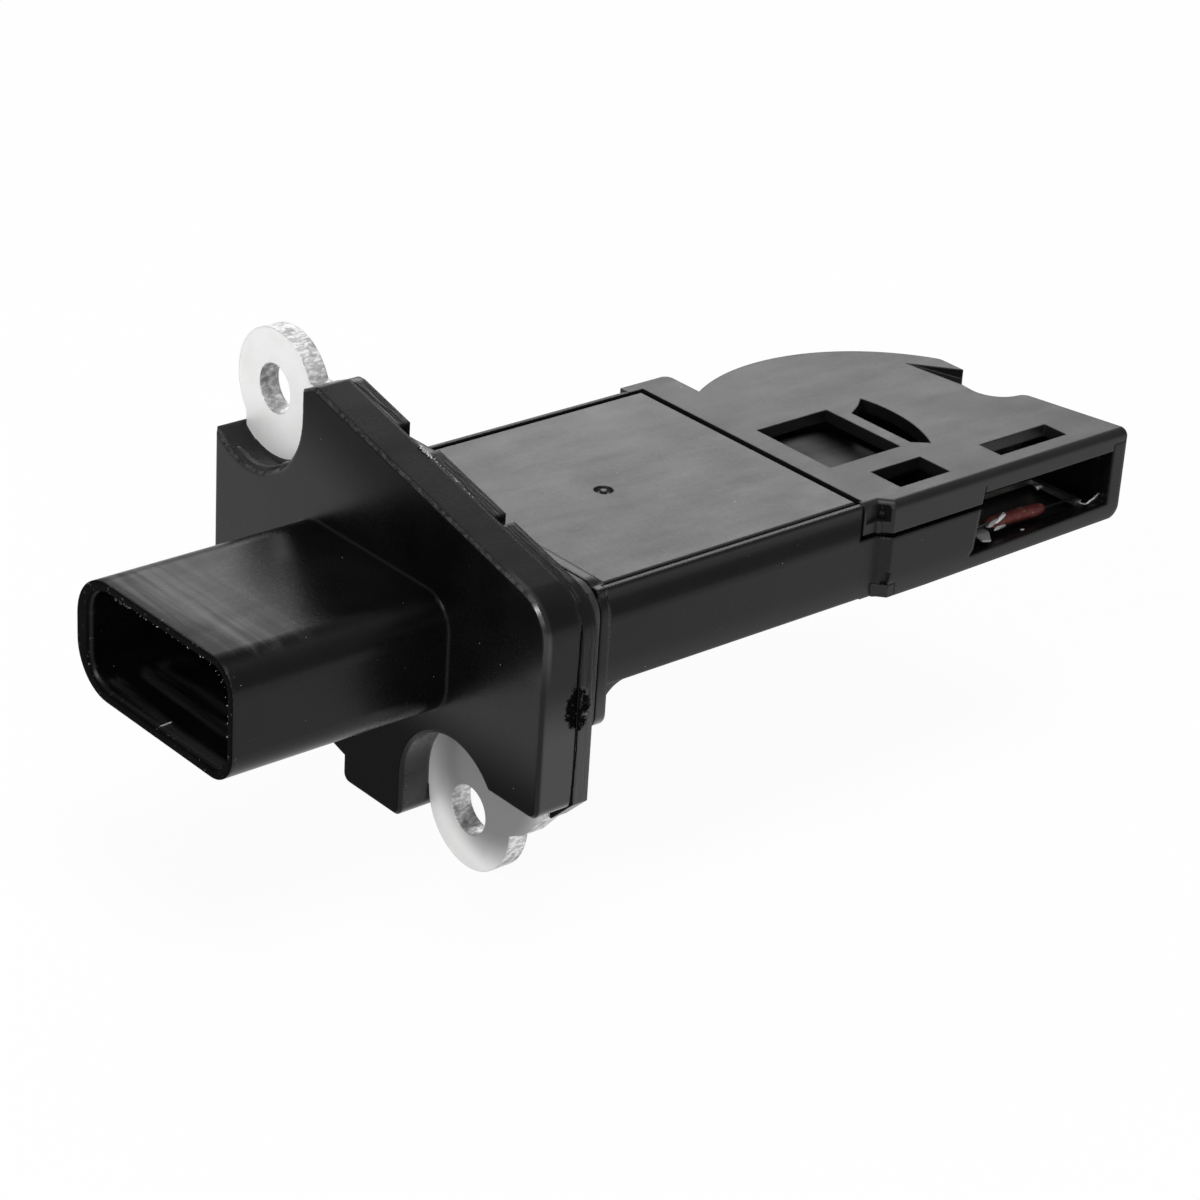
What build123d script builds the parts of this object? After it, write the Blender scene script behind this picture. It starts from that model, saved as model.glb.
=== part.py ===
from build123d import *
import math
import os

# Plug-in mass airflow sensor, in millimetres.
# The origin is on the seat face of the flange, on the centre line of the measuring blade.
# +X runs into the duct, +Z points out through the circuit lid and +Y runs across the blade.

# Blade, the flat body that reaches into the duct
BLADE_W = 31.6
BLADE_H = 9.45
BLADE_TOP = 4.65
BLADE_END_X = 32.75
BLADE_EDGE_R = 0.2
LIP_EDGE_R = 0.25

# Covers on top of the blade
COVER_T = 1.2
LIP_W = 0.6
LID_GAP = 0.45
COVER_GROOVE = 0.65
LID_EDGE_R = 0.2
LID_RIB_H = 0.7
LID_RIB_T = 1.0
LID_RIB_CLEAR = 0.2
DIMPLE_X = 14.7
DIMPLE_Y = -0.4
DIMPLE_R = 0.9
DIMPLE_DEPTH = 0.3

# Circuit chamber
CHAMBER_FLOOR_T = 1.6
SEALANT_W = 0.8
SEALANT_DEPTH = 0.7
SEALANT_LAND = 0.45
SEALANT_EDGE = 0.3
SEALANT_FRONT = 1.2

# Flange, seen along the blade
FLANGE_T = 5.6
FLANGE_FRONT_T = 3.9
FLANGE_NEAR = 17.3
FLANGE_FAR = 30.85
FLANGE_TOP_NEAR = 5.0
FLANGE_PEAK_Y = 15.8
FLANGE_PEAK_Z = 13.3
FLANGE_SHOULDER_Y = 17.6
FLANGE_SHOULDER_DROP = 0.8
LEG_BOTTOM = -14.9
FOOT_Y0 = 1.45
FOOT_Y1 = 10.0
FOOT_BOTTOM = -23.4
FOOT_STEP_Z = -20.9
FLANGE_LOW_FAR_Z = -15.3
FLANGE_CORNER_R = 4.2
FLANGE_SMALL_R = 1.0
FLANGE_EDGE = 0.25
REAR_PROUD = 0.1
REAR_TOP_STEP = 0.45
KNOB_R = 1.2
GATE_GAP_Y0 = 4.9
GATE_GAP_Y1 = 9.1
VENT_GAP_Y0 = -5.8
VENT_GAP_Y1 = -4.6
REAR_GAP_DEPTH = 1.25
LEDGE_RUN = 2.5
LEDGE_DROP = 2.0

# Steel mounting plate and its two screw lugs
PLATE_T = 2.1
PLATE_SKIN = 0.3
PLATE_INSET = 2.0
SCREW_HOLE_D = 4.8
LUG_R = 5.75
LOW_SCREW_Y = -4.4
LOW_SCREW_Z = -20.75
HIGH_SCREW_Y = 26.05
HIGH_SCREW_Z = 8.8
LOW_NOTCH_R = 6.75
LOW_NOTCH_DY = -0.9
LOW_NOTCH_DZ = 1.75
HIGH_NOTCH_R = 7.95
HIGH_NOTCH_DZ = 1.1
WEB_INSET = 2.7
WEB_DROP = 2.0
WEB_RUN = 2.4
WEB_FALL = 2.7
WEB_MARGIN = 0.4
LUG_SHOULDER_DY = -5.2
LUG_SHOULDER_DZ = 2.4
PLATE_KEY_D = 3.0
PLATE_KEY_INSET = 5.2
PLATE_KEY_NEAR_Z = (-2.0, -9.0)
PLATE_KEY_FAR_Z = (-4.0, -11.0)
PLATE_KEY_FOOT_Z = -15.0
PLATE_WINDOW_MARGIN = 2.2

# Neck behind the flange, with the groove for the seal
NECK_L = 2.3
NECK_SIDE = 0.6
NECK_TOP = 0.3
NECK_DROP = 3.8
NECK_TOP_R = 2.8
NECK_LOW_R = 1.5
SEAL_LAND = 0.2
SEAL_GROOVE_W = 1.0
SEAL_GROOVE_DEPTH = 0.9
SEAL_CLEAR = 0.05
SEAL_EDGE_CUT = 0.12
NECK_GUSSET_R = 3.0

# Connector shroud
SHROUD_L = 22.45
SHROUD_NEAR_Y = -4.5
SHROUD_W = 23.55
SHROUD_TOP_Z = 0.75
SHROUD_H = 11.45
SHROUD_NEAR_R = 3.1
SHROUD_FAR_R = 4.6
SHROUD_WALL = 1.05
SHROUD_FAR_WALL = 1.8
SHROUD_FLOOR_T = 3.0
MOUTH_CHAMFER = 0.35
LATCH_W = 6.0
LATCH_L = 3.0
LATCH_H = 1.1
LATCH_BACK = 3.5

# Connector terminals
TERMINAL_COUNT = 5
TERMINAL_PITCH = 3.3
TERMINAL_W = 1.5
TERMINAL_T = 0.8
TERMINAL_REACH = 11.0
TERMINAL_JOG_X = -2.6
TERMINAL_SHELF_L = 2.8
TERMINAL_SHELF_RISE = 1.3
TERMINAL_POINT = 0.8
TERMINAL_SHIFT = -4.0
TERMINAL_BEND_X0 = 0.6
TERMINAL_BEND_X1 = 4.2

# Circuit pieces
BASE_PLATE_T = 1.0
BASE_PLATE_CLEAR = 0.6
BOARD_T = 0.65
BOARD_INSET = 0.8
CONTROL_CHIP = (6.0, 6.0, 1.1)
CONTROL_CHIP_Y = -3.5
OUTPUT_CHIP = (4.2, 3.4, 0.9)
OUTPUT_CHIP_Y = 5.0
OUTPUT_CHIP_SHIFT = -1.0
CAPACITOR = (1.6, 0.8, 0.8)
CAPACITOR_COUNT = 4
CAPACITOR_PITCH = 2.6
CAPACITOR_SHIFT = 6.0
RIBBON_W = 0.6
RIBBON_T = 0.15
RIBBON_FOOT = 0.7
RIBBON_RISE = 0.6

# Bypass end of the blade, in plan
TIP_PROUD = 1.1
TIP_PROUD_X0 = 34.1
TIP_PROUD_X1 = 35.1
TIP_END_X = 65.8
TIP_WALL = 1.6
TIP_MID_X = 64.1
TIP_MID_Y = -9.0
TIP_END_R = 1.3
TIP_END_SINK = 0.05
EXIT_CORNER_R = 1.0
BULGE_X = 46.3
BULGE_Y = -4.9
BULGE_R = 19.2
BULGE_END_X = 62.65
BULGE_CORNER_R = 1.2
EXIT_X = 62.9
EXIT_Y = -2.3
EXIT_R = 3.2
EXIT_LIP_X = 59.85
EXIT_LIP_Y = -0.7
EXIT_END_Y = 1.95
HOOK_X0 = 31.0
HOOK_X1 = 36.9
HOOK_PROUD = 0.7
HOOK_R = 0.8
HOLLOW_R = 1.0
TIP_RISE_X = 40.0
TIP_RISE = 0.4
BYPASS_X0 = 34.0

# Cap over the bypass
CAP_NEAR_R = 0.8
CAP_NEAR_X0 = 32.4
SKIRT_T = 0.9
SKIRT_H = 1.8
SKIRT_GAP = 0.5
INLET_BAR_H = 0.72
CLIP_X0 = 32.7
CLIP_X1 = 34.9
CLIP_Z0 = 2.7
CLIP_Z1 = 4.3
CLIP_DEPTH = 0.35
CLIP_NUB_X = 34.25
CLIP_NUB_R = 0.4
CLIP_NUB_H = 1.1
SKIRT_CLEAR = 0.05
WINDOW_A = (35.4, 44.3, -8.0, 2.0)
WINDOW_B = (37.9, 44.2, -14.6, -10.7)
WINDOW_C = (50.9, 59.7, -14.6, -11.8)
CLAW_X = 45.8
CLAW_Y0 = -9.0
CLAW_Y1 = 0.1
CLAW_BELLY = 3.6
CLAW_TIP = 1.5
CLAW_TOP = 3.2
CLAW_STEP = 1.8
CLAW_RISE = 1.0
CLAW_CUT = 1.2
CLAW_TOP_Y = 2.2
RAMP_APEX = (58.9, 6.3)
RAMP_DEPTH = 1.6
RAMP_FLOOR = 1.4

# Air inlet in the near side
INLET_X0 = 46.0
INLET_X1 = 64.2
INLET_STEP = 0.15
INLET_SILL = 0.75
INLET_LEAN = 0.8

# Walls inside the bypass
PARTITION_T = 1.0
SCROLL_R = 12.4
SCROLL_START = 28.0
SCROLL_SWEEP = 120.0
SHELF_DROP = 1.2
SHELF_T = 1.2

# Cover under the bypass
UNDER_T = 1.2
UNDER_INSET = 0.9
UNDER_CLEAR = 0.08
UNDER_X0 = 34.6
LATCH_TAB_X = 34.95
LATCH_TAB_W = 1.9
LATCH_TAB_PROUD = 0.25
LATCH_SLOT_RISE = 0.1
LATCH_SLOT_H = 1.2
LATCH_SLOT_W = 0.45
LATCH_SLOT_LEAN = 0.15
LATCH_SLOT_DEPTH = 0.4

# Sensing elements and the leads that carry them
LEAD_W = 0.8
LEAD_T = 0.5
LEAD_SHELF_L = 1.5
LEAD_CLEAR = 0.2
LEAD_OVER_COVER = 0.55
LEAD_END_X = 47.2
COLD_FROM_LEAD = 2.7
HOT_FROM_COLD = 5.0
ELEMENT_SPAN = 2.6
ELEMENT_D = 1.0
ELEMENT_L = 1.9
ELEMENT_WIRE = 0.2
BEAD_X0 = 51.6
BEAD_L = 5.4
BEAD_D = 1.9
BEAD_IN = 0.7
BEAD_WIRE_D = 0.45
LEAD_EDGE = 1.9
LEAD_SPREAD = 2.4
NEAR_LEAD_X = 47.9
FAR_LEAD_X = 62.4

# Places worked out from the sizes above
BLADE_SIDE = BLADE_W / 2
TOP_Z = BLADE_TOP
BOTTOM_Z = TOP_Z - BLADE_H
DECK_Z = TOP_Z - COVER_T
TIP_NEAR = BLADE_SIDE + TIP_PROUD
HOOK_FAR = BLADE_SIDE + HOOK_PROUD
UNDER_TOP = BOTTOM_Z + UNDER_T
CHAMBER_FLOOR = BOTTOM_Z + CHAMBER_FLOOR_T
TERMINAL_SHELF_Z = CHAMBER_FLOOR + TERMINAL_SHELF_RISE
LEAD_SHELF_Z = UNDER_TOP + LEAD_OVER_COVER
LATCH_SLOT_Z0 = UNDER_TOP + LATCH_SLOT_RISE
LATCH_SLOT_Z1 = LATCH_SLOT_Z0 + LATCH_SLOT_H
LID_X0 = NECK_L + 0.25
LID_X1 = BLADE_END_X - COVER_GROOVE
LID_SIDE = BLADE_SIDE - LIP_W - LID_GAP
CHAMBER_SIDE = LID_SIDE - SEALANT_EDGE - SEALANT_W - SEALANT_LAND
CHAMBER_X0 = LID_X0 + SEALANT_FRONT + SEALANT_W + SEALANT_LAND
CHAMBER_X1 = LID_X1 - SEALANT_EDGE - SEALANT_W - SEALANT_LAND
MOUTH_X = -FLANGE_T - SHROUD_L
SHROUD_FLOOR_X = -FLANGE_T - SHROUD_FLOOR_T
SHROUD_MID_Y = SHROUD_NEAR_Y + SHROUD_W / 2
TERMINAL_Y = (SHROUD_NEAR_Y + SHROUD_WALL + SHROUD_NEAR_Y + SHROUD_W - SHROUD_FAR_WALL) / 2
TERMINAL_Z = SHROUD_TOP_Z - SHROUD_H / 2
TERMINAL_TOP = TERMINAL_SHELF_Z + TERMINAL_T
BOARD_TOP = CHAMBER_FLOOR + BASE_PLATE_T + BOARD_T
LEAD_TOP = LEAD_SHELF_Z + LEAD_T
PLATE_X0 = -PLATE_SKIN - PLATE_T
SKIRT_BOTTOM = DECK_Z - SKIRT_H
BASE_X0 = CHAMBER_X0 + TERMINAL_SHELF_L + BASE_PLATE_CLEAR
BASE_X1 = CHAMBER_X1 - LEAD_SHELF_L - BASE_PLATE_CLEAR
BASE_SIDE = CHAMBER_SIDE - BASE_PLATE_CLEAR
BOARD_X0 = BASE_X0 + BOARD_INSET
BOARD_X1 = BASE_X1 - BOARD_INSET
NEAR_LEAD_Y = -CHAMBER_SIDE + LEAD_EDGE
FAR_LEAD_Y = NEAR_LEAD_Y + LEAD_SPREAD
COLD_Y = FAR_LEAD_Y + COLD_FROM_LEAD
HOT_Y = COLD_Y + HOT_FROM_COLD
BEAD_Y = -TIP_NEAR + TIP_WALL + BEAD_IN
LOW_NOTCH = (LOW_SCREW_Y + LOW_NOTCH_DY, LOW_SCREW_Z + LOW_NOTCH_DZ)
HIGH_NOTCH = (FLANGE_SHOULDER_Y + HIGH_NOTCH_R, HIGH_SCREW_Z + HIGH_NOTCH_DZ)
FAR = 200.0


def block(x0, x1, y0, y1, z0, z1):
    """A box between two corners."""
    middle = Pos((x0 + x1) / 2, (y0 + y1) / 2, (z0 + z1) / 2)
    return middle * Box(x1 - x0, y1 - y0, z1 - z0)


def sheet(x0, x1, y0, y1):
    """A rectangle between two corners, in the plane of the sketch."""
    return Pos((x0 + x1) / 2, (y0 + y1) / 2) * Rectangle(x1 - x0, y1 - y0)


def outline(points):
    """A filled outline with straight sides."""
    return make_face(Polyline(*points, close=True))


def soften(sketch, corner, radius):
    """Round the corner of a sketch that lies nearest to a point."""
    return fillet(sketch.vertices().sort_by_distance((*corner, 0))[0], radius)


def along_x(sketch, x0, x1):
    """Raise a sketch of (Y, Z) from x0 to x1."""
    return extrude(Plane.YZ.offset(x0) * sketch, amount=x1 - x0)


def along_z(sketch, z0, z1):
    """Raise a sketch of (X, Y) from z0 to z1."""
    return extrude(Plane.XY.offset(z0) * sketch, amount=z1 - z0)


def along_y(sketch, y0, y1):
    """Raise a sketch of (X, Z) from y0 to y1."""
    return extrude(Plane.XZ.offset(-y1) * sketch, amount=y1 - y0)


# Flange and plate outlines

def top_slope_z(y):
    """Height of the slanted top edge of the flange."""
    rise = (FLANGE_PEAK_Z - FLANGE_TOP_NEAR) / (FLANGE_PEAK_Y + FLANGE_NEAR)
    return FLANGE_TOP_NEAR + rise * (y + FLANGE_NEAR)


def flange_body(inset=0.0, drop=0.0, shoulder=FLANGE_SHOULDER_DROP, proud=0.0):
    """The flange without its screw notches, with every side moved in and its top edge lowered."""
    i = inset
    near = -FLANGE_NEAR - proud + i
    peak = top_slope_z(FLANGE_PEAK_Y) - drop - i
    return outline([
        (near, LEG_BOTTOM + i),
        (LOW_NOTCH[0], LEG_BOTTOM + i),
        (LOW_NOTCH[0], LOW_NOTCH[1] + i),
        (FOOT_Y0 + i, LOW_NOTCH[1] + i),
        (FOOT_Y0 + i, FOOT_BOTTOM + i),
        (FOOT_Y1 - i, FOOT_BOTTOM + i),
        (FOOT_Y1 - i, FOOT_STEP_Z + i),
        (FLANGE_FAR - i, FLANGE_LOW_FAR_Z + i),
        (FLANGE_FAR - i, HIGH_NOTCH[1]),
        (FLANGE_SHOULDER_Y - i, HIGH_NOTCH[1]),
        (FLANGE_SHOULDER_Y - i, peak - shoulder),
        (FLANGE_PEAK_Y - i, peak),
        (near, FLANGE_TOP_NEAR - drop - i),
    ])


def cut_notches(sketch, inset=0.0):
    """Take the two round screw notches out of an outline of the flange."""
    sketch -= Pos(*LOW_NOTCH) * Circle(LOW_NOTCH_R + inset)
    return sketch - Pos(*HIGH_NOTCH) * Circle(HIGH_NOTCH_R + inset)


def round_flange(body):
    """Round the outer corners of an outline of the flange."""
    body = soften(body, (-FLANGE_NEAR, FLANGE_TOP_NEAR), FLANGE_CORNER_R)
    for corner in ((-FLANGE_NEAR, LEG_BOTTOM), (FOOT_Y1, FOOT_BOTTOM), (FLANGE_FAR, FLANGE_LOW_FAR_Z),
                   (FOOT_Y0, FOOT_BOTTOM)):
        body = soften(body, corner, FLANGE_SMALL_R)
    return body


def rear_outline():
    """The rear layer of the flange, with a rounded knob at its peak and a ledge over the low lug."""
    body = round_flange(flange_body(drop=REAR_TOP_STEP, shoulder=0.0, proud=REAR_PROUD))
    body = soften(body, (FLANGE_SHOULDER_Y, FLANGE_PEAK_Z), KNOB_R)
    ledge = outline([
        (-FLANGE_NEAR - REAR_PROUD, LEG_BOTTOM + LEDGE_DROP),
        (-FLANGE_NEAR - REAR_PROUD, LEG_BOTTOM + FLANGE_SMALL_R / 2),
        (-FLANGE_NEAR + LEDGE_RUN, LEG_BOTTOM - LEDGE_DROP),
        (LOW_NOTCH[0], LEG_BOTTOM - LEDGE_DROP),
        (LOW_NOTCH[0], LEG_BOTTOM + LEDGE_DROP),
    ])
    return cut_notches(body + ledge)


def plate_outline():
    """The mounting plate: a body inside the flange and two round lugs with their webs."""
    body = flange_body(PLATE_INSET)
    body += Pos(LOW_SCREW_Y, LOW_SCREW_Z) * Circle(LUG_R)
    body += Pos(HIGH_SCREW_Y, HIGH_SCREW_Z) * Circle(LUG_R)
    edge = -FLANGE_NEAR + WEB_INSET
    body += outline([
        (edge, LEG_BOTTOM + PLATE_INSET),
        (edge, LEG_BOTTOM - WEB_DROP),
        (edge + WEB_RUN, LEG_BOTTOM - WEB_DROP - WEB_FALL),
        (LOW_SCREW_Y - 0.9 * LUG_R, LOW_SCREW_Z - 0.05 * LUG_R),
        (FOOT_Y0 + PLATE_INSET, LOW_SCREW_Z),
        (FOOT_Y0 + PLATE_INSET, LEG_BOTTOM + PLATE_INSET),
    ])
    body += outline([
        (HIGH_SCREW_Y - LUG_R, HIGH_SCREW_Z),
        (HIGH_SCREW_Y - LUG_R, -PLATE_INSET),
        (FLANGE_FAR - WEB_MARGIN, -PLATE_INSET),
        (FLANGE_FAR - WEB_MARGIN, HIGH_SCREW_Z - 0.55 * LUG_R),
        (HIGH_SCREW_Y + LUG_R, HIGH_SCREW_Z),
    ])
    return body + sheet(FLANGE_PEAK_Y - PLATE_INSET, HIGH_SCREW_Y + LUG_SHOULDER_DY, -PLATE_INSET,
                        HIGH_SCREW_Z + LUG_SHOULDER_DZ)


def terminal_places():
    """The Y of each connector terminal."""
    first = TERMINAL_Y - TERMINAL_PITCH * (TERMINAL_COUNT - 1) / 2
    return [first + n * TERMINAL_PITCH for n in range(TERMINAL_COUNT)]


def mounting_plate():
    """Stamped steel plate with its screw holes, flow holes and the window for the terminals."""
    plate = along_x(plate_outline(), PLATE_X0, PLATE_X0 + PLATE_T)
    reach = TERMINAL_PITCH * (TERMINAL_COUNT - 1) / 2 + TERMINAL_W / 2 + PLATE_WINDOW_MARGIN
    window = sheet(TERMINAL_Y - reach, TERMINAL_Y + reach, TERMINAL_Z - PLATE_WINDOW_MARGIN,
                   TERMINAL_TOP + PLATE_WINDOW_MARGIN)
    plate -= along_x(window, PLATE_X0, 0)
    for y, z in ((LOW_SCREW_Y, LOW_SCREW_Z), (HIGH_SCREW_Y, HIGH_SCREW_Z)):
        plate -= along_x(Pos(y, z) * Circle(SCREW_HOLE_D / 2), PLATE_X0, 0)
    keys = [((FOOT_Y0 + FOOT_Y1) / 2, PLATE_KEY_FOOT_Z)]
    keys += [(-FLANGE_NEAR + PLATE_KEY_INSET, z) for z in PLATE_KEY_NEAR_Z]
    keys += [(FLANGE_FAR - PLATE_KEY_INSET, z) for z in PLATE_KEY_FAR_Z]
    for y, z in keys:
        plate -= along_x(Pos(y, z) * Circle(PLATE_KEY_D / 2), PLATE_X0, 0)
    return plate


# Housing

def flange_solid():
    """Flange in two layers, with gaps in the rear layer along its slanted top edge."""
    middle = -FLANGE_T + FLANGE_FRONT_T
    front = along_x(cut_notches(round_flange(flange_body())), -FLANGE_T, middle)
    front = chamfer(front.faces().sort_by(Axis.X)[0].outer_wire().edges(), FLANGE_EDGE)
    rear = along_x(rear_outline(), middle, 0)
    for y0, y1 in ((GATE_GAP_Y0, GATE_GAP_Y1), (VENT_GAP_Y0, VENT_GAP_Y1)):
        rear -= block(middle, 0, y0, y1, top_slope_z((y0 + y1) / 2) - REAR_GAP_DEPTH, FAR)
    return front + rear


def neck_section(inset=0.0):
    """Rounded section of the neck that enters the duct."""
    half = BLADE_SIDE + NECK_SIDE - inset
    low = BOTTOM_Z - NECK_DROP + inset
    high = TOP_Z + NECK_TOP - inset
    section = sheet(-half, half, low, high)
    for side in (-half, half):
        section = soften(section, (side, low), NECK_LOW_R - inset)
        section = soften(section, (side, high), NECK_TOP_R - inset)
    return section


def neck_solid():
    """Neck with the rounded gusset under the blade."""
    neck = along_x(neck_section(), 0, NECK_L)
    r = NECK_GUSSET_R
    corner = outline([(NECK_L, BOTTOM_Z), (NECK_L, BOTTOM_Z - r), (NECK_L + r, BOTTOM_Z)])
    corner -= Pos(NECK_L + r, BOTTOM_Z - r) * Circle(r)
    return neck + along_y(corner, -BLADE_SIDE + BLADE_EDGE_R, BLADE_SIDE - BLADE_EDGE_R)


def shroud_section(wall, far_wall):
    """Section of the connector shroud, moved in by the given walls."""
    y0 = SHROUD_NEAR_Y + wall
    y1 = SHROUD_NEAR_Y + SHROUD_W - far_wall
    z1 = SHROUD_TOP_Z - wall
    z0 = SHROUD_TOP_Z - SHROUD_H + wall
    section = sheet(y0, y1, z0, z1)
    for z in (z0, z1):
        section = soften(section, (y0, z), SHROUD_NEAR_R - wall)
        section = soften(section, (y1, z), SHROUD_FAR_R - far_wall)
    return section


def shroud_solid():
    """Connector shroud with its socket, lead-in and the locking ramp under it."""
    shroud = along_x(shroud_section(0, 0), MOUTH_X, -FLANGE_T)
    socket = along_x(shroud_section(SHROUD_WALL, SHROUD_FAR_WALL), MOUTH_X, SHROUD_FLOOR_X)
    shroud -= socket
    rim = shroud.faces().sort_by(Axis.X)[0].inner_wires()[0].edges()
    shroud = chamfer(rim, MOUTH_CHAMFER)
    low = SHROUD_TOP_Z - SHROUD_H
    ramp_x = MOUTH_X + LATCH_BACK
    ramp = outline([(ramp_x, low), (ramp_x + LATCH_L, low - LATCH_H), (ramp_x + LATCH_L + 0.6, low - LATCH_H),
                    (ramp_x + LATCH_L + 0.6, low)])
    return shroud + along_y(ramp, SHROUD_MID_Y - LATCH_W / 2, SHROUD_MID_Y + LATCH_W / 2)


def blade_solid():
    """Plain blade up to the bypass end, with rounded long edges."""
    blade = block(0, BLADE_END_X, -BLADE_SIDE, BLADE_SIDE, BOTTOM_Z, TOP_Z)
    long_edges = blade.edges().filter_by(Axis.X).group_by(Axis.Z)
    blade = fillet(long_edges[0], BLADE_EDGE_R)
    return fillet(blade.edges().filter_by(Axis.X).group_by(Axis.Z)[-1], LIP_EDGE_R)


def outlet_notch():
    """Plan of the round outlet notch, with the slanted end of the rim beside it."""
    rim = outline([
        (EXIT_X - EXIT_R, EXIT_Y),
        (EXIT_LIP_X, EXIT_LIP_Y),
        (BULGE_END_X, EXIT_END_Y),
        (TIP_END_X, EXIT_END_Y),
        (TIP_END_X, EXIT_Y),
    ])
    return Pos(EXIT_X, EXIT_Y) * Circle(EXIT_R) + rim


def tip_plan(inset=0.0, hook=True):
    """Plan of the bypass end, with every side moved in by inset; only the outermost one has round corners."""
    i = inset
    plan = Pos(BULGE_X, BULGE_Y) * Circle(BULGE_R - i)
    plan &= sheet(BLADE_END_X + i, BULGE_END_X - i, TIP_MID_Y, FAR)
    plan += sheet(BLADE_END_X + i, HOOK_X1 - i, TIP_MID_Y, HOOK_FAR - i)
    if not inset:
        plan = soften(plan, (BULGE_END_X, -BULGE_Y), BULGE_CORNER_R)
        plan = soften(plan, (HOOK_X1, HOOK_FAR), HOOK_R)
        plan = soften(plan, (HOOK_X1, -BULGE_Y + BULGE_R / 2), HOLLOW_R)
    plan += outline([
        (BLADE_END_X + i, -BLADE_SIDE + i),
        (TIP_PROUD_X0 + i, -BLADE_SIDE + i),
        (TIP_PROUD_X1 + i, -TIP_NEAR + i),
        (TIP_END_X - i, -TIP_NEAR + i),
        (TIP_MID_X - i, TIP_MID_Y),
        (BULGE_END_X - i, EXIT_Y),
        (BLADE_END_X + i, EXIT_Y),
    ])
    notch = outlet_notch()
    if inset:
        notch = offset(notch, inset)
    plan -= notch
    if not inset:
        plan = soften(plan, (TIP_MID_X, EXIT_Y - EXIT_R), EXIT_CORNER_R)
    if hook:
        plan += sheet(HOOK_X0, BLADE_END_X + 1, BLADE_SIDE - LIP_W + 0.05, HOOK_FAR)
    return plan


def near_band(x0, x1, out, depth):
    """Strip along the near side of the bypass end, from out outside it to depth inside it."""
    inner = [(x0, -BLADE_SIDE), (TIP_PROUD_X0, -BLADE_SIDE), (TIP_PROUD_X1, -TIP_NEAR), (x1, -TIP_NEAR)]
    return outline([(x, y - out) for x, y in inner] + [(x, y + depth) for x, y in reversed(inner)])


def partitions():
    """Walls inside the bypass: the scroll wall and the wall beside the inlet."""
    centre = (BULGE_X, BULGE_Y)
    middle_r = SCROLL_R - PARTITION_T / 2
    ring = Pos(*centre) * (Circle(SCROLL_R) - Circle(SCROLL_R - PARTITION_T))
    a = math.radians(SCROLL_START)
    b = math.radians(SCROLL_START + SCROLL_SWEEP)
    wedge = outline([centre] + [
        (centre[0] + 3 * middle_r * math.cos(t), centre[1] + 3 * middle_r * math.sin(t))
        for t in (a, (2 * a + b) / 3, (a + 2 * b) / 3, b)
    ])
    scroll = ring & wedge
    side = sheet(INLET_X0 - PARTITION_T - 0.1, INLET_X0 - 0.1, -TIP_NEAR + 0.5, WINDOW_A[2])
    return scroll + side


def tip_solid():
    """Walls of the bypass end, open above and below for the two covers."""
    tip = along_z(tip_plan(hook=False), BOTTOM_Z, DECK_Z)
    cavity = tip_plan(TIP_WALL, hook=False) & sheet(BYPASS_X0, FAR, -FAR, FAR)
    tip -= along_z(cavity, BOTTOM_Z, DECK_Z)
    tip += along_z(partitions(), UNDER_TOP, DECK_Z)
    x0, x1, y0, y1 = WINDOW_A
    tip += block(BYPASS_X0 - 0.5, x1 + 1, y0 - 1, y1 + 1, DECK_Z - SHELF_DROP - SHELF_T, DECK_Z - SHELF_DROP)
    tip += block(BYPASS_X0 - 0.5, BYPASS_X0 + 1.4, y0 - 1, y1 + 1, UNDER_TOP, DECK_Z)
    return tip


def inlet_cut():
    """The air inlet, with a leaning left edge and a sill that rises towards the tip."""
    low = UNDER_TOP
    mouth = outline([
        (INLET_X0, low + INLET_LEAN),
        (INLET_X0 - 0.5, low + INLET_STEP),
        (INLET_X1, low + INLET_SILL),
        (INLET_X1, DECK_Z),
        (INLET_X0 + INLET_LEAN, DECK_Z),
    ])
    return along_y(mouth, -TIP_NEAR - 1, -TIP_NEAR + TIP_WALL + 0.1)


def rise_cut():
    """What the underside loses where it rises towards the tip and rounds up into the slanted end."""
    side = outline([(TIP_RISE_X, BOTTOM_Z), (TIP_END_X + 1, BOTTOM_Z + TIP_RISE),
                    (TIP_END_X + 1, -FAR), (TIP_RISE_X, -FAR)])
    r = TIP_END_R
    corner = sheet(-r, 1, -1, r) - Pos(-r, r) * Circle(r)
    turn = math.degrees(math.atan2(TIP_END_X - TIP_MID_X, TIP_MID_Y + TIP_NEAR))
    place = Pos(TIP_END_X, -TIP_NEAR, BOTTOM_Z + TIP_RISE - TIP_END_SINK) * Rot(0, 0, turn)
    return along_y(side, -FAR, FAR) + place * along_y(corner, -1, TIP_NEAR + EXIT_Y - EXIT_R)


def skirt_cut():
    """Room for the skirt of the cap, with the open groove under it."""
    band = near_band(BLADE_END_X - COVER_GROOVE, INLET_X0 + INLET_LEAN + 0.5, 1, SKIRT_T + SKIRT_CLEAR)
    return along_z(band, SKIRT_BOTTOM - SKIRT_GAP, FAR)


def chamber_cut():
    """The circuit chamber with its two shelves and the groove for the sealant."""
    half = CHAMBER_SIDE
    cut = block(CHAMBER_X0, CHAMBER_X1, -half, half, TERMINAL_SHELF_Z, FAR)
    cut += block(CHAMBER_X0 + TERMINAL_SHELF_L, CHAMBER_X1, -half, half, LEAD_SHELF_Z, FAR)
    cut += block(CHAMBER_X0 + TERMINAL_SHELF_L, CHAMBER_X1 - LEAD_SHELF_L, -half, half, CHAMBER_FLOOR, FAR)
    return cut


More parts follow.
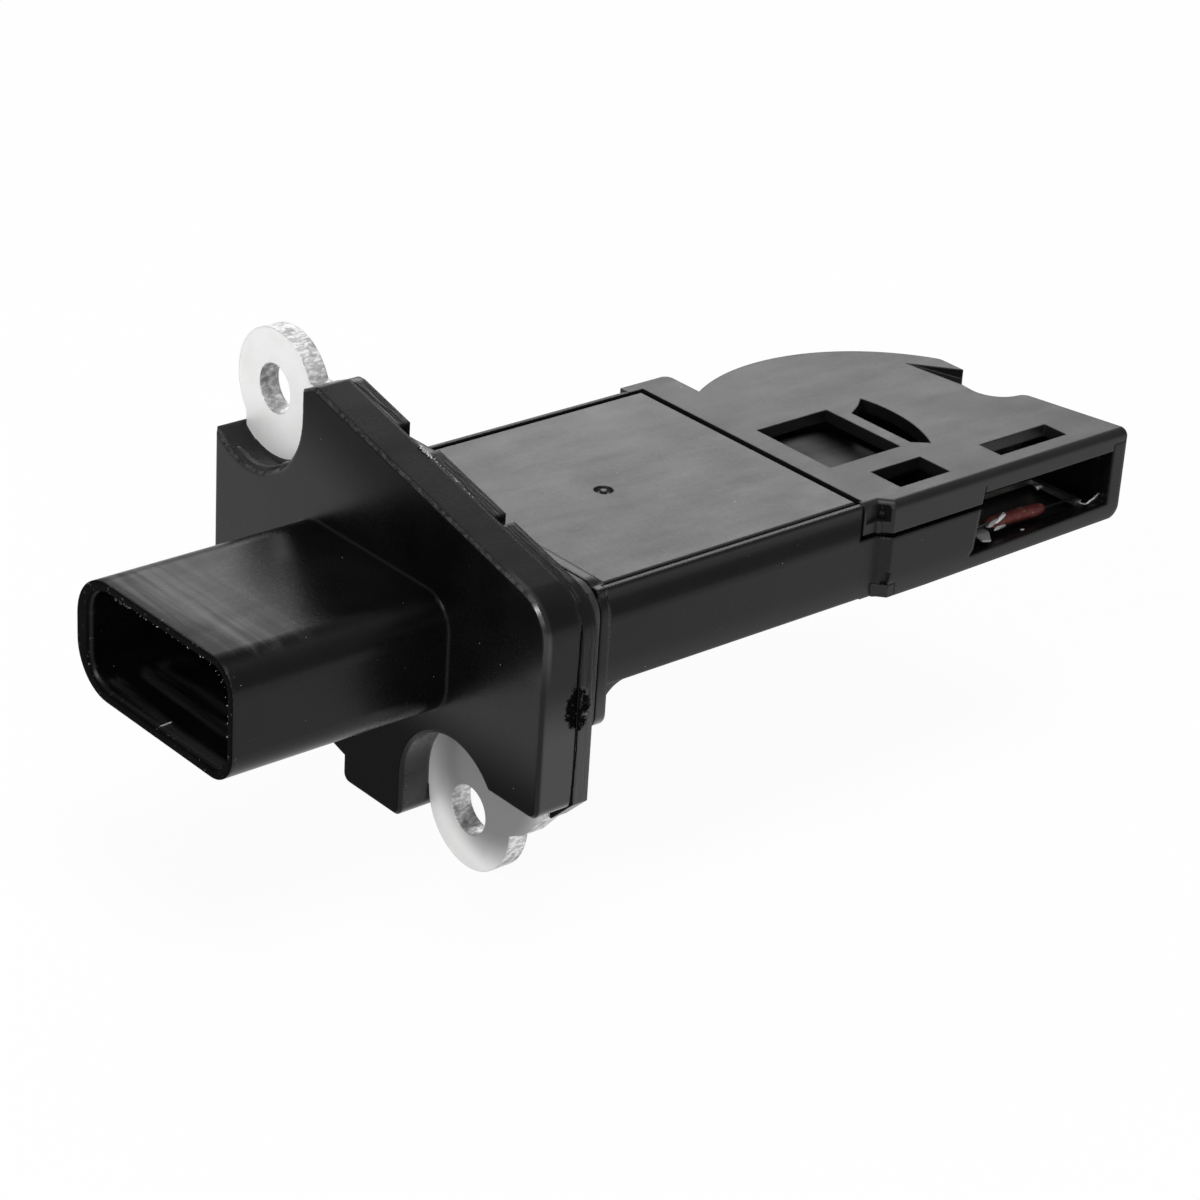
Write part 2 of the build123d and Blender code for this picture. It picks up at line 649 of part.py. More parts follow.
def sealant_ring():
    """Bead of sealant in its groove round the chamber."""
    inner = SEALANT_LAND
    outer = SEALANT_LAND + SEALANT_W
    half = CHAMBER_SIDE
    ring = sheet(CHAMBER_X0 - outer, CHAMBER_X1 + outer, -half - outer, half + outer)
    ring -= sheet(CHAMBER_X0 - inner, CHAMBER_X1 + inner, -half - inner, half + inner)
    return along_z(ring, DECK_Z - SEALANT_DEPTH, DECK_Z)


def latch_slot():
    """Slot in the near wall that the tab of the lower cover snaps into."""
    x0 = LATCH_TAB_X - LATCH_TAB_W / 2 - UNDER_CLEAR
    x1 = LATCH_TAB_X + LATCH_TAB_W / 2 + UNDER_CLEAR
    slot = block(x0, x1, -TIP_NEAR - 1, -TIP_NEAR + TIP_WALL + UNDER_CLEAR,
                 BOTTOM_Z - 1, UNDER_TOP + UNDER_CLEAR)
    half = LATCH_SLOT_W / 2
    mark = outline([
        (LATCH_TAB_X - half - LATCH_SLOT_LEAN, LATCH_SLOT_Z0),
        (LATCH_TAB_X + half - LATCH_SLOT_LEAN, LATCH_SLOT_Z0),
        (LATCH_TAB_X + half + LATCH_SLOT_LEAN, LATCH_SLOT_Z1),
        (LATCH_TAB_X - half + LATCH_SLOT_LEAN, LATCH_SLOT_Z1),
    ])
    band = near_band(BLADE_END_X, INLET_X0, 1, LATCH_SLOT_DEPTH)
    return slot + (along_y(mark, -FAR, 0) & along_z(band, LATCH_SLOT_Z0, LATCH_SLOT_Z1))


def housing(cutters):
    """The one-piece moulding, cut to the pieces that are moulded into it."""
    body = neck_solid() + blade_solid()
    groove = neck_section(-1) - neck_section(SEAL_GROOVE_DEPTH)
    body -= along_x(groove, SEAL_LAND, SEAL_LAND + SEAL_GROOVE_W)
    body += flange_solid() + tip_solid() + shroud_solid()
    body -= block(LID_X0 - 0.1, BLADE_END_X, -BLADE_SIDE + LIP_W, BLADE_SIDE - LIP_W, DECK_Z, FAR)
    body -= block(HOOK_X0 - 0.1, BLADE_END_X + 1, BLADE_SIDE - LIP_W - 0.1, FAR, DECK_Z, FAR)
    body -= block(BLADE_END_X - 0.15, BLADE_END_X + 1, -FAR, FAR, DECK_Z, FAR)
    body -= chamber_cut() + sealant_ring()
    body -= inlet_cut()
    body -= skirt_cut()
    body -= rise_cut() + outlet_ramp()
    rebate = tip_plan(UNDER_INSET, hook=False) & sheet(UNDER_X0 - UNDER_CLEAR, FAR, -FAR, FAR)
    body -= along_z(rebate, BOTTOM_Z - 1, UNDER_TOP)
    body -= latch_slot()
    for cutter in cutters:
        body -= cutter
    return body


# Covers and seal

def circuit_lid():
    """Lid over the circuit chamber, with a locating rib below and a moulding dimple on top."""
    lid = block(LID_X0, LID_X1, -LID_SIDE, LID_SIDE, DECK_Z, TOP_Z)
    lid = fillet(lid.faces().sort_by(Axis.Z)[-1].edges(), LID_EDGE_R)
    x0 = CHAMBER_X0 + LID_RIB_CLEAR
    x1 = CHAMBER_X1 - LID_RIB_CLEAR
    half = CHAMBER_SIDE - LID_RIB_CLEAR
    t = LID_RIB_T
    rib = sheet(x0, x1, -half, half) - sheet(x0 + t, x1 - t, -half + t, half - t)
    lid += along_z(rib, DECK_Z - LID_RIB_H, DECK_Z)
    dimple = Pos(DIMPLE_X, DIMPLE_Y) * (Circle(DIMPLE_R) - Circle(DIMPLE_R / 3))
    return lid - along_z(dimple, TOP_Z - DIMPLE_DEPTH, TOP_Z)


def claw_window():
    """The claw-shaped window: one straight side, one bowed side and a stepped head."""
    tip = (CLAW_X + CLAW_TIP, CLAW_Y0)
    head = (CLAW_X + CLAW_TOP, CLAW_TOP_Y)
    step = (CLAW_X + CLAW_STEP, CLAW_Y1 + CLAW_RISE)
    belly = (CLAW_X + CLAW_BELLY, (CLAW_Y0 + CLAW_TOP_Y) / 2 + CLAW_TIP)
    lines = Curve() + [
        ThreePointArc(tip, belly, head),
        Line(head, step),
        Line(step, (CLAW_X, CLAW_Y1)),
        Line((CLAW_X, CLAW_Y1), (CLAW_X, CLAW_Y0 + CLAW_CUT)),
        Line((CLAW_X, CLAW_Y0 + CLAW_CUT), tip),
    ]
    return make_face(lines)


def ramp_plan():
    """Plan of the outlet ramp: a triangle that widens towards the notch."""
    return outline([RAMP_APEX, (EXIT_LIP_X, EXIT_LIP_Y), (EXIT_LIP_X, EXIT_Y), (BULGE_END_X, EXIT_Y),
                    (BULGE_END_X, EXIT_END_Y)])


def outlet_ramp():
    """Wedge that is lost where the ramp runs down to the outlet."""
    ay = RAMP_APEX[1]
    low = TOP_Z - RAMP_DEPTH
    side = outline([(ay, TOP_Z), (EXIT_LIP_Y, low), (EXIT_Y, low), (EXIT_Y, TOP_Z + 1), (ay, TOP_Z + 1)])
    return along_z(ramp_plan(), low - 1, TOP_Z + 1) & along_x(side, EXIT_LIP_X - EXIT_R, FAR)


def bypass_cap():
    """Cap over the bypass with its windows, near skirt, inlet bar, clip recess and outlet ramp."""
    plan = tip_plan() + sheet(CAP_NEAR_X0, BLADE_END_X + 1, -BLADE_SIDE, -BLADE_SIDE + SKIRT_T)
    cap = along_z(plan, DECK_Z, TOP_Z)
    rim = cap.faces().sort_by(Axis.Z)[-1].outer_wire().edges()
    near = [edge for edge in rim if edge.center().Y < -BLADE_SIDE + 0.01 and edge.bounding_box().size.X > 0.1]
    cap = fillet(near, CAP_NEAR_R)
    skirt = along_z(near_band(CAP_NEAR_X0, INLET_X0 + INLET_LEAN + 0.2, 0, SKIRT_T), SKIRT_BOTTOM, DECK_Z)
    cap += skirt - inlet_cut()
    cap += block(INLET_X0 + INLET_LEAN + 0.1, INLET_X1 - 0.1, -TIP_NEAR, -TIP_NEAR + SKIRT_T,
                 DECK_Z - INLET_BAR_H, DECK_Z)
    cap -= block(CLIP_X0, CLIP_X1, -FAR, -BLADE_SIDE + CLIP_DEPTH, CLIP_Z0, CLIP_Z1)
    nub = Pos(CLIP_NUB_X, -BLADE_SIDE, SKIRT_BOTTOM + CLIP_NUB_H / 2) * Cylinder(CLIP_NUB_R, CLIP_NUB_H)
    cap += nub & block(0, FAR, -TIP_NEAR, -BLADE_SIDE + SKIRT_T, SKIRT_BOTTOM, DECK_Z)
    floor = tip_plan(TIP_WALL + SKIRT_CLEAR, hook=False) & ramp_plan()
    cap += along_z(floor, DECK_Z - RAMP_FLOOR, DECK_Z)
    for x0, x1, y0, y1 in (WINDOW_A, WINDOW_B, WINDOW_C):
        cap -= block(x0, x1, y0, y1, DECK_Z - 1, FAR)
    cap -= along_z(claw_window(), DECK_Z - 1, TOP_Z + 1)
    return cap - outlet_ramp()


def lower_cover():
    """Cover under the bypass, with the snap tab that shows at the near edge."""
    plan = tip_plan(UNDER_INSET + UNDER_CLEAR, hook=False) & sheet(UNDER_X0, FAR, -FAR, FAR)
    x0 = LATCH_TAB_X - LATCH_TAB_W / 2
    x1 = LATCH_TAB_X + LATCH_TAB_W / 2
    plan += tip_plan(hook=False) & sheet(x0, x1, -FAR, -TIP_NEAR + TIP_WALL)
    cover = along_z(plan, BOTTOM_Z, UNDER_TOP) - rise_cut()
    tongue = make_face(Curve() + [
        ThreePointArc((x0, BOTTOM_Z), (LATCH_TAB_X, BOTTOM_Z - LATCH_TAB_PROUD), (x1, BOTTOM_Z)),
        Line((x1, BOTTOM_Z), (x0, BOTTOM_Z)),
    ])
    return cover + along_y(tongue, -BLADE_SIDE, -TIP_NEAR + TIP_WALL)


def seal_ring():
    """Rubber ring in the groove of the neck, flush with it."""
    section = neck_section() - neck_section(SEAL_GROOVE_DEPTH)
    ring = along_x(section, SEAL_LAND + SEAL_CLEAR, SEAL_LAND + SEAL_GROOVE_W - SEAL_CLEAR)
    rims = [ring.faces().sort_by(Axis.X)[n].outer_wire().edges() for n in (0, -1)]
    return chamfer(rims[0] + rims[1], SEAL_EDGE_CUT)


# Electrical pieces

def terminal(y):
    """One connector blade that jogs up, then sideways to its pad in the circuit chamber."""
    start = SHROUD_FLOOR_X - TERMINAL_REACH
    low = TERMINAL_Z - TERMINAL_T / 2
    high = TERMINAL_Z + TERMINAL_T / 2
    half = TERMINAL_W / 2
    side = outline([
        (start, TERMINAL_Z - TERMINAL_T / 5),
        (start + TERMINAL_POINT, low),
        (TERMINAL_JOG_X + TERMINAL_T, low),
        (TERMINAL_JOG_X + TERMINAL_T, TERMINAL_TOP),
        (TERMINAL_JOG_X, TERMINAL_TOP),
        (TERMINAL_JOG_X, high),
        (start + TERMINAL_POINT, high),
        (start, TERMINAL_Z + TERMINAL_T / 5),
    ])
    end = CHAMBER_X0 + TERMINAL_SHELF_L - 0.3
    pad = y + TERMINAL_SHIFT
    strip = outline([
        (TERMINAL_JOG_X, y - half),
        (TERMINAL_BEND_X0, y - half),
        (TERMINAL_BEND_X1, pad - half),
        (end, pad - half),
        (end, pad + half),
        (TERMINAL_BEND_X1, pad + half),
        (TERMINAL_BEND_X0, y + half),
        (TERMINAL_JOG_X, y + half),
    ])
    return along_y(side, y - half, y + half) + along_z(strip, TERMINAL_SHELF_Z, TERMINAL_TOP)


def ribbon(x0, z0, x1, z1, y):
    """Bonding ribbon that arches from a pad at (x0, z0) to one at (x1, z1)."""
    t = RIBBON_T
    top = max(z0, z1) + RIBBON_RISE
    f = RIBBON_FOOT
    side = outline([
        (x0, z0), (x0 + f, z0), (x0 + f, top - t), (x1 - f, top - t), (x1 - f, z1), (x1, z1),
        (x1, z1 + t), (x1 - f + t, z1 + t), (x1 - f + t, top), (x0 + f - t, top), (x0 + f - t, z0 + t),
        (x0, z0 + t),
    ])
    return along_y(side, y - RIBBON_W / 2, y + RIBBON_W / 2)


def base_plate():
    """Aluminium plate that the ceramic board is bonded to."""
    return block(BASE_X0, BASE_X1, -BASE_SIDE, BASE_SIDE, CHAMBER_FLOOR, CHAMBER_FLOOR + BASE_PLATE_T)


def circuit_board():
    """Ceramic board on the base plate."""
    side = BASE_SIDE - BOARD_INSET
    return block(BOARD_X0, BOARD_X1, -side, side, BOARD_TOP - BOARD_T, BOARD_TOP)


def on_board(x, y, size):
    """A component that stands on the board."""
    length, width, height = size
    return block(x - length / 2, x + length / 2, y - width / 2, y + width / 2, BOARD_TOP, BOARD_TOP + height)


def straight_lead(y):
    """Lead that runs from the circuit chamber into the bypass."""
    half = LEAD_W / 2
    return block(CHAMBER_X1 - LEAD_SHELF_L + LEAD_CLEAR, LEAD_END_X, y - half, y + half, LEAD_SHELF_Z, LEAD_TOP)


def bent_lead(y, x_end):
    """Lead that turns towards the inlet at its end, to carry the air temperature bead."""
    half = LEAD_W / 2
    straight = block(CHAMBER_X1 - LEAD_SHELF_L + LEAD_CLEAR, x_end, y - half, y + half, LEAD_SHELF_Z, LEAD_TOP)
    turn = block(x_end - LEAD_W, x_end, BEAD_Y - 0.6, y, LEAD_SHELF_Z, LEAD_TOP)
    return straight + turn


def element(y):
    """Sensing resistor between the ends of two leads."""
    x = LEAD_END_X - 0.6
    z = LEAD_TOP + ELEMENT_WIRE / 2
    core = Pos(x, y, z + ELEMENT_D / 2 - ELEMENT_WIRE / 2) * Rot(90, 0, 0) * Cylinder(ELEMENT_D / 2, ELEMENT_L)
    reach = ELEMENT_SPAN / 2 + LEAD_W / 2
    half = ELEMENT_WIRE / 2
    wire = block(x - half, x + half, y - reach, y + reach, LEAD_TOP, LEAD_TOP + ELEMENT_WIRE)
    return core + wire


def air_bead():
    """Glass bead of the air temperature sensor, with its end caps and wires."""
    z = LEAD_TOP + BEAD_WIRE_D / 2
    middle = BEAD_X0 + BEAD_L / 2
    bead = Pos(middle, BEAD_Y, z) * Rot(0, 90, 0) * Cylinder(BEAD_D / 2, BEAD_L)
    bead = chamfer(bead.edges(), BEAD_D / 4)
    x0 = NEAR_LEAD_X - LEAD_W
    x1 = FAR_LEAD_X
    wire = Pos((x0 + x1) / 2, BEAD_Y, z) * Rot(0, 90, 0) * Cylinder(BEAD_WIRE_D / 2, x1 - x0)
    return bead + wire


def sensor_lead_places():
    """The Y of each lead that crosses the wall between chamber and bypass."""
    places = []
    for middle in (HOT_Y, COLD_Y):
        places += [middle - ELEMENT_SPAN / 2, middle + ELEMENT_SPAN / 2]
    return places + [FAR_LEAD_Y, NEAR_LEAD_Y]


def build():
    """Every piece by name."""
    pieces = {"mounting_plate": mounting_plate()}
    for n, y in enumerate(terminal_places(), 1):
        pieces[f"terminal_{n}"] = terminal(y)
        pieces[f"terminal_bond_{n}"] = ribbon(CHAMBER_X0 + TERMINAL_SHELF_L - 1.2, TERMINAL_TOP,
                                              BOARD_X0 + 1.0, BOARD_TOP,
                                              y + TERMINAL_SHIFT)
    hot_low, hot_high, cold_low, cold_high, far_y, near_y = sensor_lead_places()
    pieces["hot_lead_1"] = straight_lead(hot_low)
    pieces["hot_lead_2"] = straight_lead(hot_high)
    pieces["cold_lead_1"] = straight_lead(cold_low)
    pieces["cold_lead_2"] = straight_lead(cold_high)
    pieces["bead_lead_near"] = bent_lead(near_y, NEAR_LEAD_X)
    pieces["bead_lead_far"] = bent_lead(far_y, FAR_LEAD_X)
    for n, y in enumerate(sensor_lead_places(), 1):
        pieces[f"sensor_bond_{n}"] = ribbon(BOARD_X1 - 1.0, BOARD_TOP,
                                            CHAMBER_X1 - LEAD_SHELF_L + 1.3, LEAD_TOP, y)
    pieces["hot_element"] = element(HOT_Y)
    pieces["cold_element"] = element(COLD_Y)
    pieces["air_temperature_bead"] = air_bead()
    pieces["base_plate"] = base_plate()
    pieces["circuit_board"] = circuit_board()
    mid_x = (BASE_X0 + BASE_X1) / 2
    pieces["control_chip"] = on_board(mid_x, CONTROL_CHIP_Y, CONTROL_CHIP)
    pieces["output_chip"] = on_board(mid_x + OUTPUT_CHIP_SHIFT, OUTPUT_CHIP_Y, OUTPUT_CHIP)
    for n in range(CAPACITOR_COUNT):
        y = (n - (CAPACITOR_COUNT - 1) / 2) * CAPACITOR_PITCH
        pieces[f"capacitor_{n + 1}"] = on_board(mid_x + CAPACITOR_SHIFT, y, CAPACITOR)
    pieces["lid_sealant"] = sealant_ring()
    pieces["circuit_lid"] = circuit_lid()
    pieces["bypass_cap"] = bypass_cap()
    pieces["lower_cover"] = lower_cover()
    pieces["seal_ring"] = seal_ring()
    moulded_in = [shape for name, shape in pieces.items()
                  if name == "mounting_plate" or name.startswith("terminal_") and "bond" not in name
                  or "_lead_" in name]
    pieces["housing"] = housing(moulded_in)
    return pieces


os.makedirs("parts", exist_ok=True)
for name, shape in build().items():
    export_step(shape, f"parts/{name}.step")
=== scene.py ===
"""Plug-in mass airflow sensor: studio scene, finishes and small surface pieces."""
import math
import random

import bmesh
import bpy
from mathutils import Matrix, Vector


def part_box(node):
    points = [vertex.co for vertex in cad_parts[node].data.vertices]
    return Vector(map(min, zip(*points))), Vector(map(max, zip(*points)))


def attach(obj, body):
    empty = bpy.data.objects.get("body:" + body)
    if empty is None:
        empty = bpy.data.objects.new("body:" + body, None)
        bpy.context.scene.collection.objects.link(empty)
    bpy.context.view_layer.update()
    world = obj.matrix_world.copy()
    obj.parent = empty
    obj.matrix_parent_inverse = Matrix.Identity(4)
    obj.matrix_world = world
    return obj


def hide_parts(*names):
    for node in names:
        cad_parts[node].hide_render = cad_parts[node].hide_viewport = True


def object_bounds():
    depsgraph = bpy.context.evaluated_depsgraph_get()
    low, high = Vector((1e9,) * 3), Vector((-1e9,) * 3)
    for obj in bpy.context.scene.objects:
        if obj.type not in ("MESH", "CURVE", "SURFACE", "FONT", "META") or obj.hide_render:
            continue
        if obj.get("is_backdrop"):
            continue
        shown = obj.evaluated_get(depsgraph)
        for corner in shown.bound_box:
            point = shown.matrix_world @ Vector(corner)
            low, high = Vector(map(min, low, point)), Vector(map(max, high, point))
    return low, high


MM = 0.001
PER_METRE = 1000.0
WHITE = (1.0, 1.0, 1.0, 1.0)


# Shader kit

class Term:
    """A shader socket that can be used in arithmetic."""

    def __init__(self, finish, socket):
        self.finish = finish
        self.socket = socket

    def math(self, operation, *others):
        inputs = {n: value for n, value in enumerate((self, *others))}
        return self.finish.node("ShaderNodeMath", {"operation": operation}, inputs)

    def __add__(self, other):
        return self.math("ADD", other)

    __radd__ = __add__

    def __mul__(self, other):
        return self.math("MULTIPLY", other)

    def __sub__(self, other):
        return self.math("SUBTRACT", other)

    def __rsub__(self, other):
        return self.finish.node("ShaderNodeMath", {"operation": "SUBTRACT"}, {0: other, 1: self})

    def __truediv__(self, other):
        return self.math("DIVIDE", other)

    def __abs__(self):
        return self.math("ABSOLUTE")

    def most(self, other):
        return self.math("MAXIMUM", other)

    def ramp(self, start, end):
        """Smooth step from 0 at start to 1 at end."""
        flip = end < start
        settings = {"interpolation_type": "SMOOTHSTEP"}
        low, high = (end, start) if flip else (start, end)
        step = self.finish.node("ShaderNodeMapRange", settings,
                                {"Value": self, "From Min": low, "From Max": high})
        return 1 - step if flip else step


class Net:
    """A node tree that is filled node by node."""

    def __init__(self, tree):
        self.tree = tree
        self.tree.nodes.clear()

    def node(self, kind, settings=None, inputs=None, out=0):
        """Add a node, set its settings, then fill its sockets with values or links."""
        made = self.tree.nodes.new(kind)
        for key, value in (settings or {}).items():
            if key == "stops":
                self.set_stops(made.color_ramp, value)
            else:
                setattr(made, key, value)
        for key, value in (inputs or {}).items():
            if isinstance(value, Term):
                self.tree.links.new(value.socket, made.inputs[key])
            else:
                made.inputs[key].default_value = value
        return Term(self, made.outputs[out])

    def set_stops(self, ramp, stops):
        while len(ramp.elements) < len(stops):
            ramp.elements.new(0.5)
        for element, (position, colour) in zip(ramp.elements, stops):
            element.position = position
            element.color = colour


class Finish(Net):
    """A material that is built node by node."""

    def __init__(self, name):
        self.material = bpy.data.materials.new(name)
        self.material.use_nodes = True
        super().__init__(self.material.node_tree)
        self.place = self.node("ShaderNodeTexCoord", out="Object")
        self.facing = self.node("ShaderNodeTexCoord", out="Normal")

    def axes(self):
        """Object coordinates in millimetres."""
        split = self.node("ShaderNodeVectorMath", {"operation": "SCALE"},
                          {0: self.place, "Scale": PER_METRE})
        return [self.node("ShaderNodeSeparateXYZ", inputs={0: split}, out=axis) for axis in "XYZ"]

    def normals(self):
        return [self.node("ShaderNodeSeparateXYZ", inputs={0: self.facing}, out=axis) for axis in "XYZ"]

    def noise(self, size, detail=4.0, roughness=0.55, stretch=(1, 1, 1)):
        """Noise whose features are about size millimetres across."""
        place = self.node("ShaderNodeMapping", inputs={"Vector": self.place, "Scale": stretch})
        return self.node("ShaderNodeTexNoise", inputs={
            "Vector": place, "Scale": PER_METRE / size, "Detail": detail, "Roughness": roughness})

    def flecks(self, size, share):
        """Small round spots, one in each cell; share is how much of a cell they fill."""
        cells = {"Vector": self.place, "Scale": PER_METRE / size}
        return self.node("ShaderNodeTexVoronoi", inputs=cells).ramp(share, share * 0.6)

    def blend(self, factor, first, second):
        return self.node("ShaderNodeMix", {"data_type": "RGBA"}, {0: factor, 6: first, 7: second}, out=2)

    def bump(self, height, depth, normal=None):
        """Bump of depth millimetres."""
        inputs = {"Height": height, "Distance": depth * MM, "Strength": 1.0}
        if normal:
            inputs["Normal"] = normal
        return self.node("ShaderNodeBump", inputs=inputs)

    def soft_edges(self, radius):
        """Normal that rounds sharp edges by radius millimetres."""
        return self.node("ShaderNodeBevel", {"samples": 4}, {"Radius": radius * MM})

    def principled(self, **inputs):
        return self.node("ShaderNodeBsdfPrincipled", inputs={
            key.replace("_", " "): value for key, value in inputs.items()})

    def finish(self, shader):
        output = self.tree.nodes.new("ShaderNodeOutputMaterial")
        self.tree.links.new(shader.socket, output.inputs["Surface"])
        return self.material

    def surface(self, **inputs):
        return self.finish(self.principled(**inputs))


def grey(value, warm=0.0):
    return (value * (1 + warm), value, value * (1 - warm), 1.0)


# Finishes

def moulded_black(name, tone, gloss, shine=0.3):
    """Black glass-filled plastic with flow marks, grain and small pale flecks."""
    f = Finish(name)
    clouds = f.noise(9.0, detail=3)
    streaks = f.noise(2.2, detail=5, stretch=(0.25, 1, 1))
    grain = f.noise(0.3, detail=3)
    dust = f.flecks(2.4, 0.05) * f.noise(5.0).ramp(0.52, 0.64) * 0.35
    shade = f.blend(clouds.ramp(0.3, 0.7), grey(tone * 0.7), grey(tone * 1.2))
    colour = f.blend(dust, shade, grey(0.4))
    roughness = clouds * 0.14 + streaks * 0.12 + grain * 0.1 + dust * 0.2 + gloss - 0.18
    normal = f.bump(grain * 0.7 + streaks * 0.3, 0.008, f.soft_edges(0.2))
    return f.surface(Base_Color=colour, Roughness=roughness, Normal=normal, Specular_IOR_Level=shine)


# Places on the housing, in millimetres
SEAM_X = -1.68
SEAM_WANDER = 0.7
GATE_X, GATE_Z = -1.7, -5.0
GATE_REACH_X, GATE_REACH_Z = 1.25, 2.0
FLANGE_TOP_Z = 9.34
FLANGE_TOP_SLOPE = 0.251


def housing_black():
    """The housing's plastic: satin, with its seam, torn gate, worn mouth and dusty shelf, and painted
    light and shade.
    """
    f = Finish("housing_black")
    x, y, z = f.axes()
    nx, ny, nz = f.normals()
    front, near, up = nx * -1, ny * -1, nz
    mouth_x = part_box("housing")[0].x / MM
    clouds = f.noise(9.0, detail=3)
    streaks = f.noise(2.2, detail=5, stretch=(0.25, 1, 1))
    grain = f.noise(0.32, detail=3)
    ragged = f.noise(0.6, detail=6, roughness=0.75)
    specks = f.flecks(1.5, 0.045) * f.noise(4.0).ramp(0.46, 0.6) * 0.5

    # rim: the mouth's front rim, made matt below as painted shade to keep it dark.
    rim = x.ramp(mouth_x + 0.35, mouth_x + 0.1) * front.ramp(0.1, 0.4)
    nicks = x.ramp(mouth_x + 1.0, mouth_x + 0.2) * ragged.ramp(0.62, 0.7)
    brushed = f.noise(1.5, detail=6, stretch=(0.9, 0.06, 1))
    shroud_top = up.ramp(0.8, 0.97) * x.ramp(-5.5, -6.0)
    # Brushed scuffs near the mouth, also a painted highlight: they pale the colour a little and take
    # matt away from the shroud top below.
    scuff_and_painted_highlight = x.ramp(mouth_x + 12.0, mouth_x + 3.0) * shroud_top * brushed.ramp(0.42, 0.66)

    side = near.ramp(0.7, 0.9) * y.ramp(-17.0, -17.2)
    wander = (f.noise(2.6, detail=5) - 0.5) * SEAM_WANDER
    combed = f.noise(0.5, detail=3, stretch=(1, 0.06, 0.06))
    combed = combed * x.ramp(-1.6, -1.45) * x.ramp(0.1, -0.05)
    seam = abs(x - SEAM_X + wander).ramp(0.13, 0.04) * side * z.ramp(7.0, 4.0)
    across, along = (x - GATE_X) / GATE_REACH_X, (z - GATE_Z) / GATE_REACH_Z
    from_gate = across * across + along * along
    torn = (from_gate + (ragged - 0.5) * 4.5).ramp(1.1, 0.85) * side
    feather = from_gate.ramp(1.6, 0.6) * x.ramp(-1.6, -1.2) * ragged.ramp(0.5, 0.62) * side

    # Painted highlight: a pale, broken line along the rounded front-top edge of the flange.
    turning = front.ramp(0.25, 0.5) * front.ramp(0.97, 0.85) * up.ramp(0.2, 0.5)
    painted_edge_highlight = turning * x.ramp(-5.2, -5.4) * x.ramp(-5.8, -5.65) * y.ramp(-18.0, -14.0)
    # Dust and painted light: the shelf in the cap's window is paled in mottled streaks to lift it out of
    # its recess's shade, and is made matt.
    shelf = up.ramp(0.8, 0.95) * z.ramp(2.0, 2.2) * z.ramp(2.5, 2.3) * x.ramp(34.5, 35.5)
    dust_and_painted_light_on_shelf = shelf * x.ramp(44.5, 40.0) * (clouds * 0.6 + streaks * 0.6)

    # Real specks, nicks and torn feather, together with painted light: the scuff highlight, the lifted
    # shelf and the edge highlight.
    wear_and_painted_light = specks.most(nicks * 0.7).most(scuff_and_painted_highlight * 0.05).most(feather * 0.25).most(dust_and_painted_light_on_shelf * 0.32)
    wear_and_painted_light = wear_and_painted_light.most(painted_edge_highlight * ragged.ramp(0.35, 0.7) * 0.12)
    shade = f.blend(clouds.ramp(0.3, 0.7), grey(0.0015), grey(0.0035))
    colour = f.blend(wear_and_painted_light, shade, grey(0.45))
    roughness = clouds * 0.08 + streaks * 0.08 + grain * 0.06 + wear_and_painted_light * 0.2 + 0.16

    cove = z.ramp(1.0, 4.2) * y.ramp(-15.0, -15.2) * x.ramp(2.0, 2.2) * x.ramp(33.4, 33.2)
    marks = combed * 0.12 - cove * 0.9 - torn * (ragged + 0.4) - seam * 0.3
    shaped = f.bump(marks, 1.0, f.soft_edges(0.45))
    normal = f.bump(grain * 0.7 + streaks * 0.3, 0.008, shaped)
    # Painted sheen: extra coat on the lower near faces and the flange's near top corner, to brighten
    # them and raise a highlight.
    corner = x.ramp(-4.7, -5.1) * x.ramp(-6.2, -5.7) * y.ramp(-10.5, -13.0) * z.ramp(-3.0, 2.0)
    painted_sheen = (near.ramp(0.6, 0.9) * z.ramp(-2.0, -8.0) * x.ramp(-5.5, -5.0)).most(corner)
    satin = f.principled(Base_Color=colour, Roughness=roughness, Normal=normal, Specular_IOR_Level=0.25,
                         Coat_Weight=painted_sheen * 0.8, Coat_Roughness=0.2)
    matt = f.principled(Base_Color=colour, Roughness=roughness + 0.4, Normal=normal,
                        Specular_IOR_Level=0.02)
    # Painted shade: these masks switch to a shader with almost no reflection where faces should look
    # dark: the flange front, the shroud top, its mouth end, the inlet's inside, the mouth rim and the
    # shelf. The torn gate and seam are matt for real.
    flange_front = front.ramp(0.8, 0.95) * x.ramp(-5.8, -5.6)
    below_top = y * FLANGE_TOP_SLOPE + FLANGE_TOP_Z - z
    under_top = below_top.ramp(10.0, 1.0) * y.ramp(27.0, 19.0) * y.ramp(-13.0, -7.0) * 0.6
    painted_shade_front = flange_front * (z.ramp(-7.0, -15.0) * 0.85).most(under_top)
    # Painted shade on the shroud top, stronger at the mouth end and weaker on the scuffs.
    painted_shade_mouth_end = x.ramp(mouth_x + 7.0, mouth_x) * 0.3
    painted_shade_top = shroud_top * (0.27 - scuff_and_painted_highlight * 0.3 + streaks * 0.2 + painted_shade_mouth_end)
    # Painted shade inside the inlet.
    painted_shade_inside = y.ramp(-8.0, -9.0) * y.ramp(-16.2, -15.9) * x.ramp(34.0, 35.0) * z.ramp(1.5, 1.0) * 0.8
    matt_and_painted_shade = rim.most(torn).most(seam).most(painted_shade_front).most(painted_shade_top).most(painted_shade_inside).most(shelf * 0.9)
    return f.finish(f.node("ShaderNodeMixShader", inputs={0: matt_and_painted_shade, 1: satin, 2: matt}))


# Centre of the painted shade on the low lug's face, in millimetres
LOW_LUG_Y, LOW_LUG_Z = -7.0, -16.6


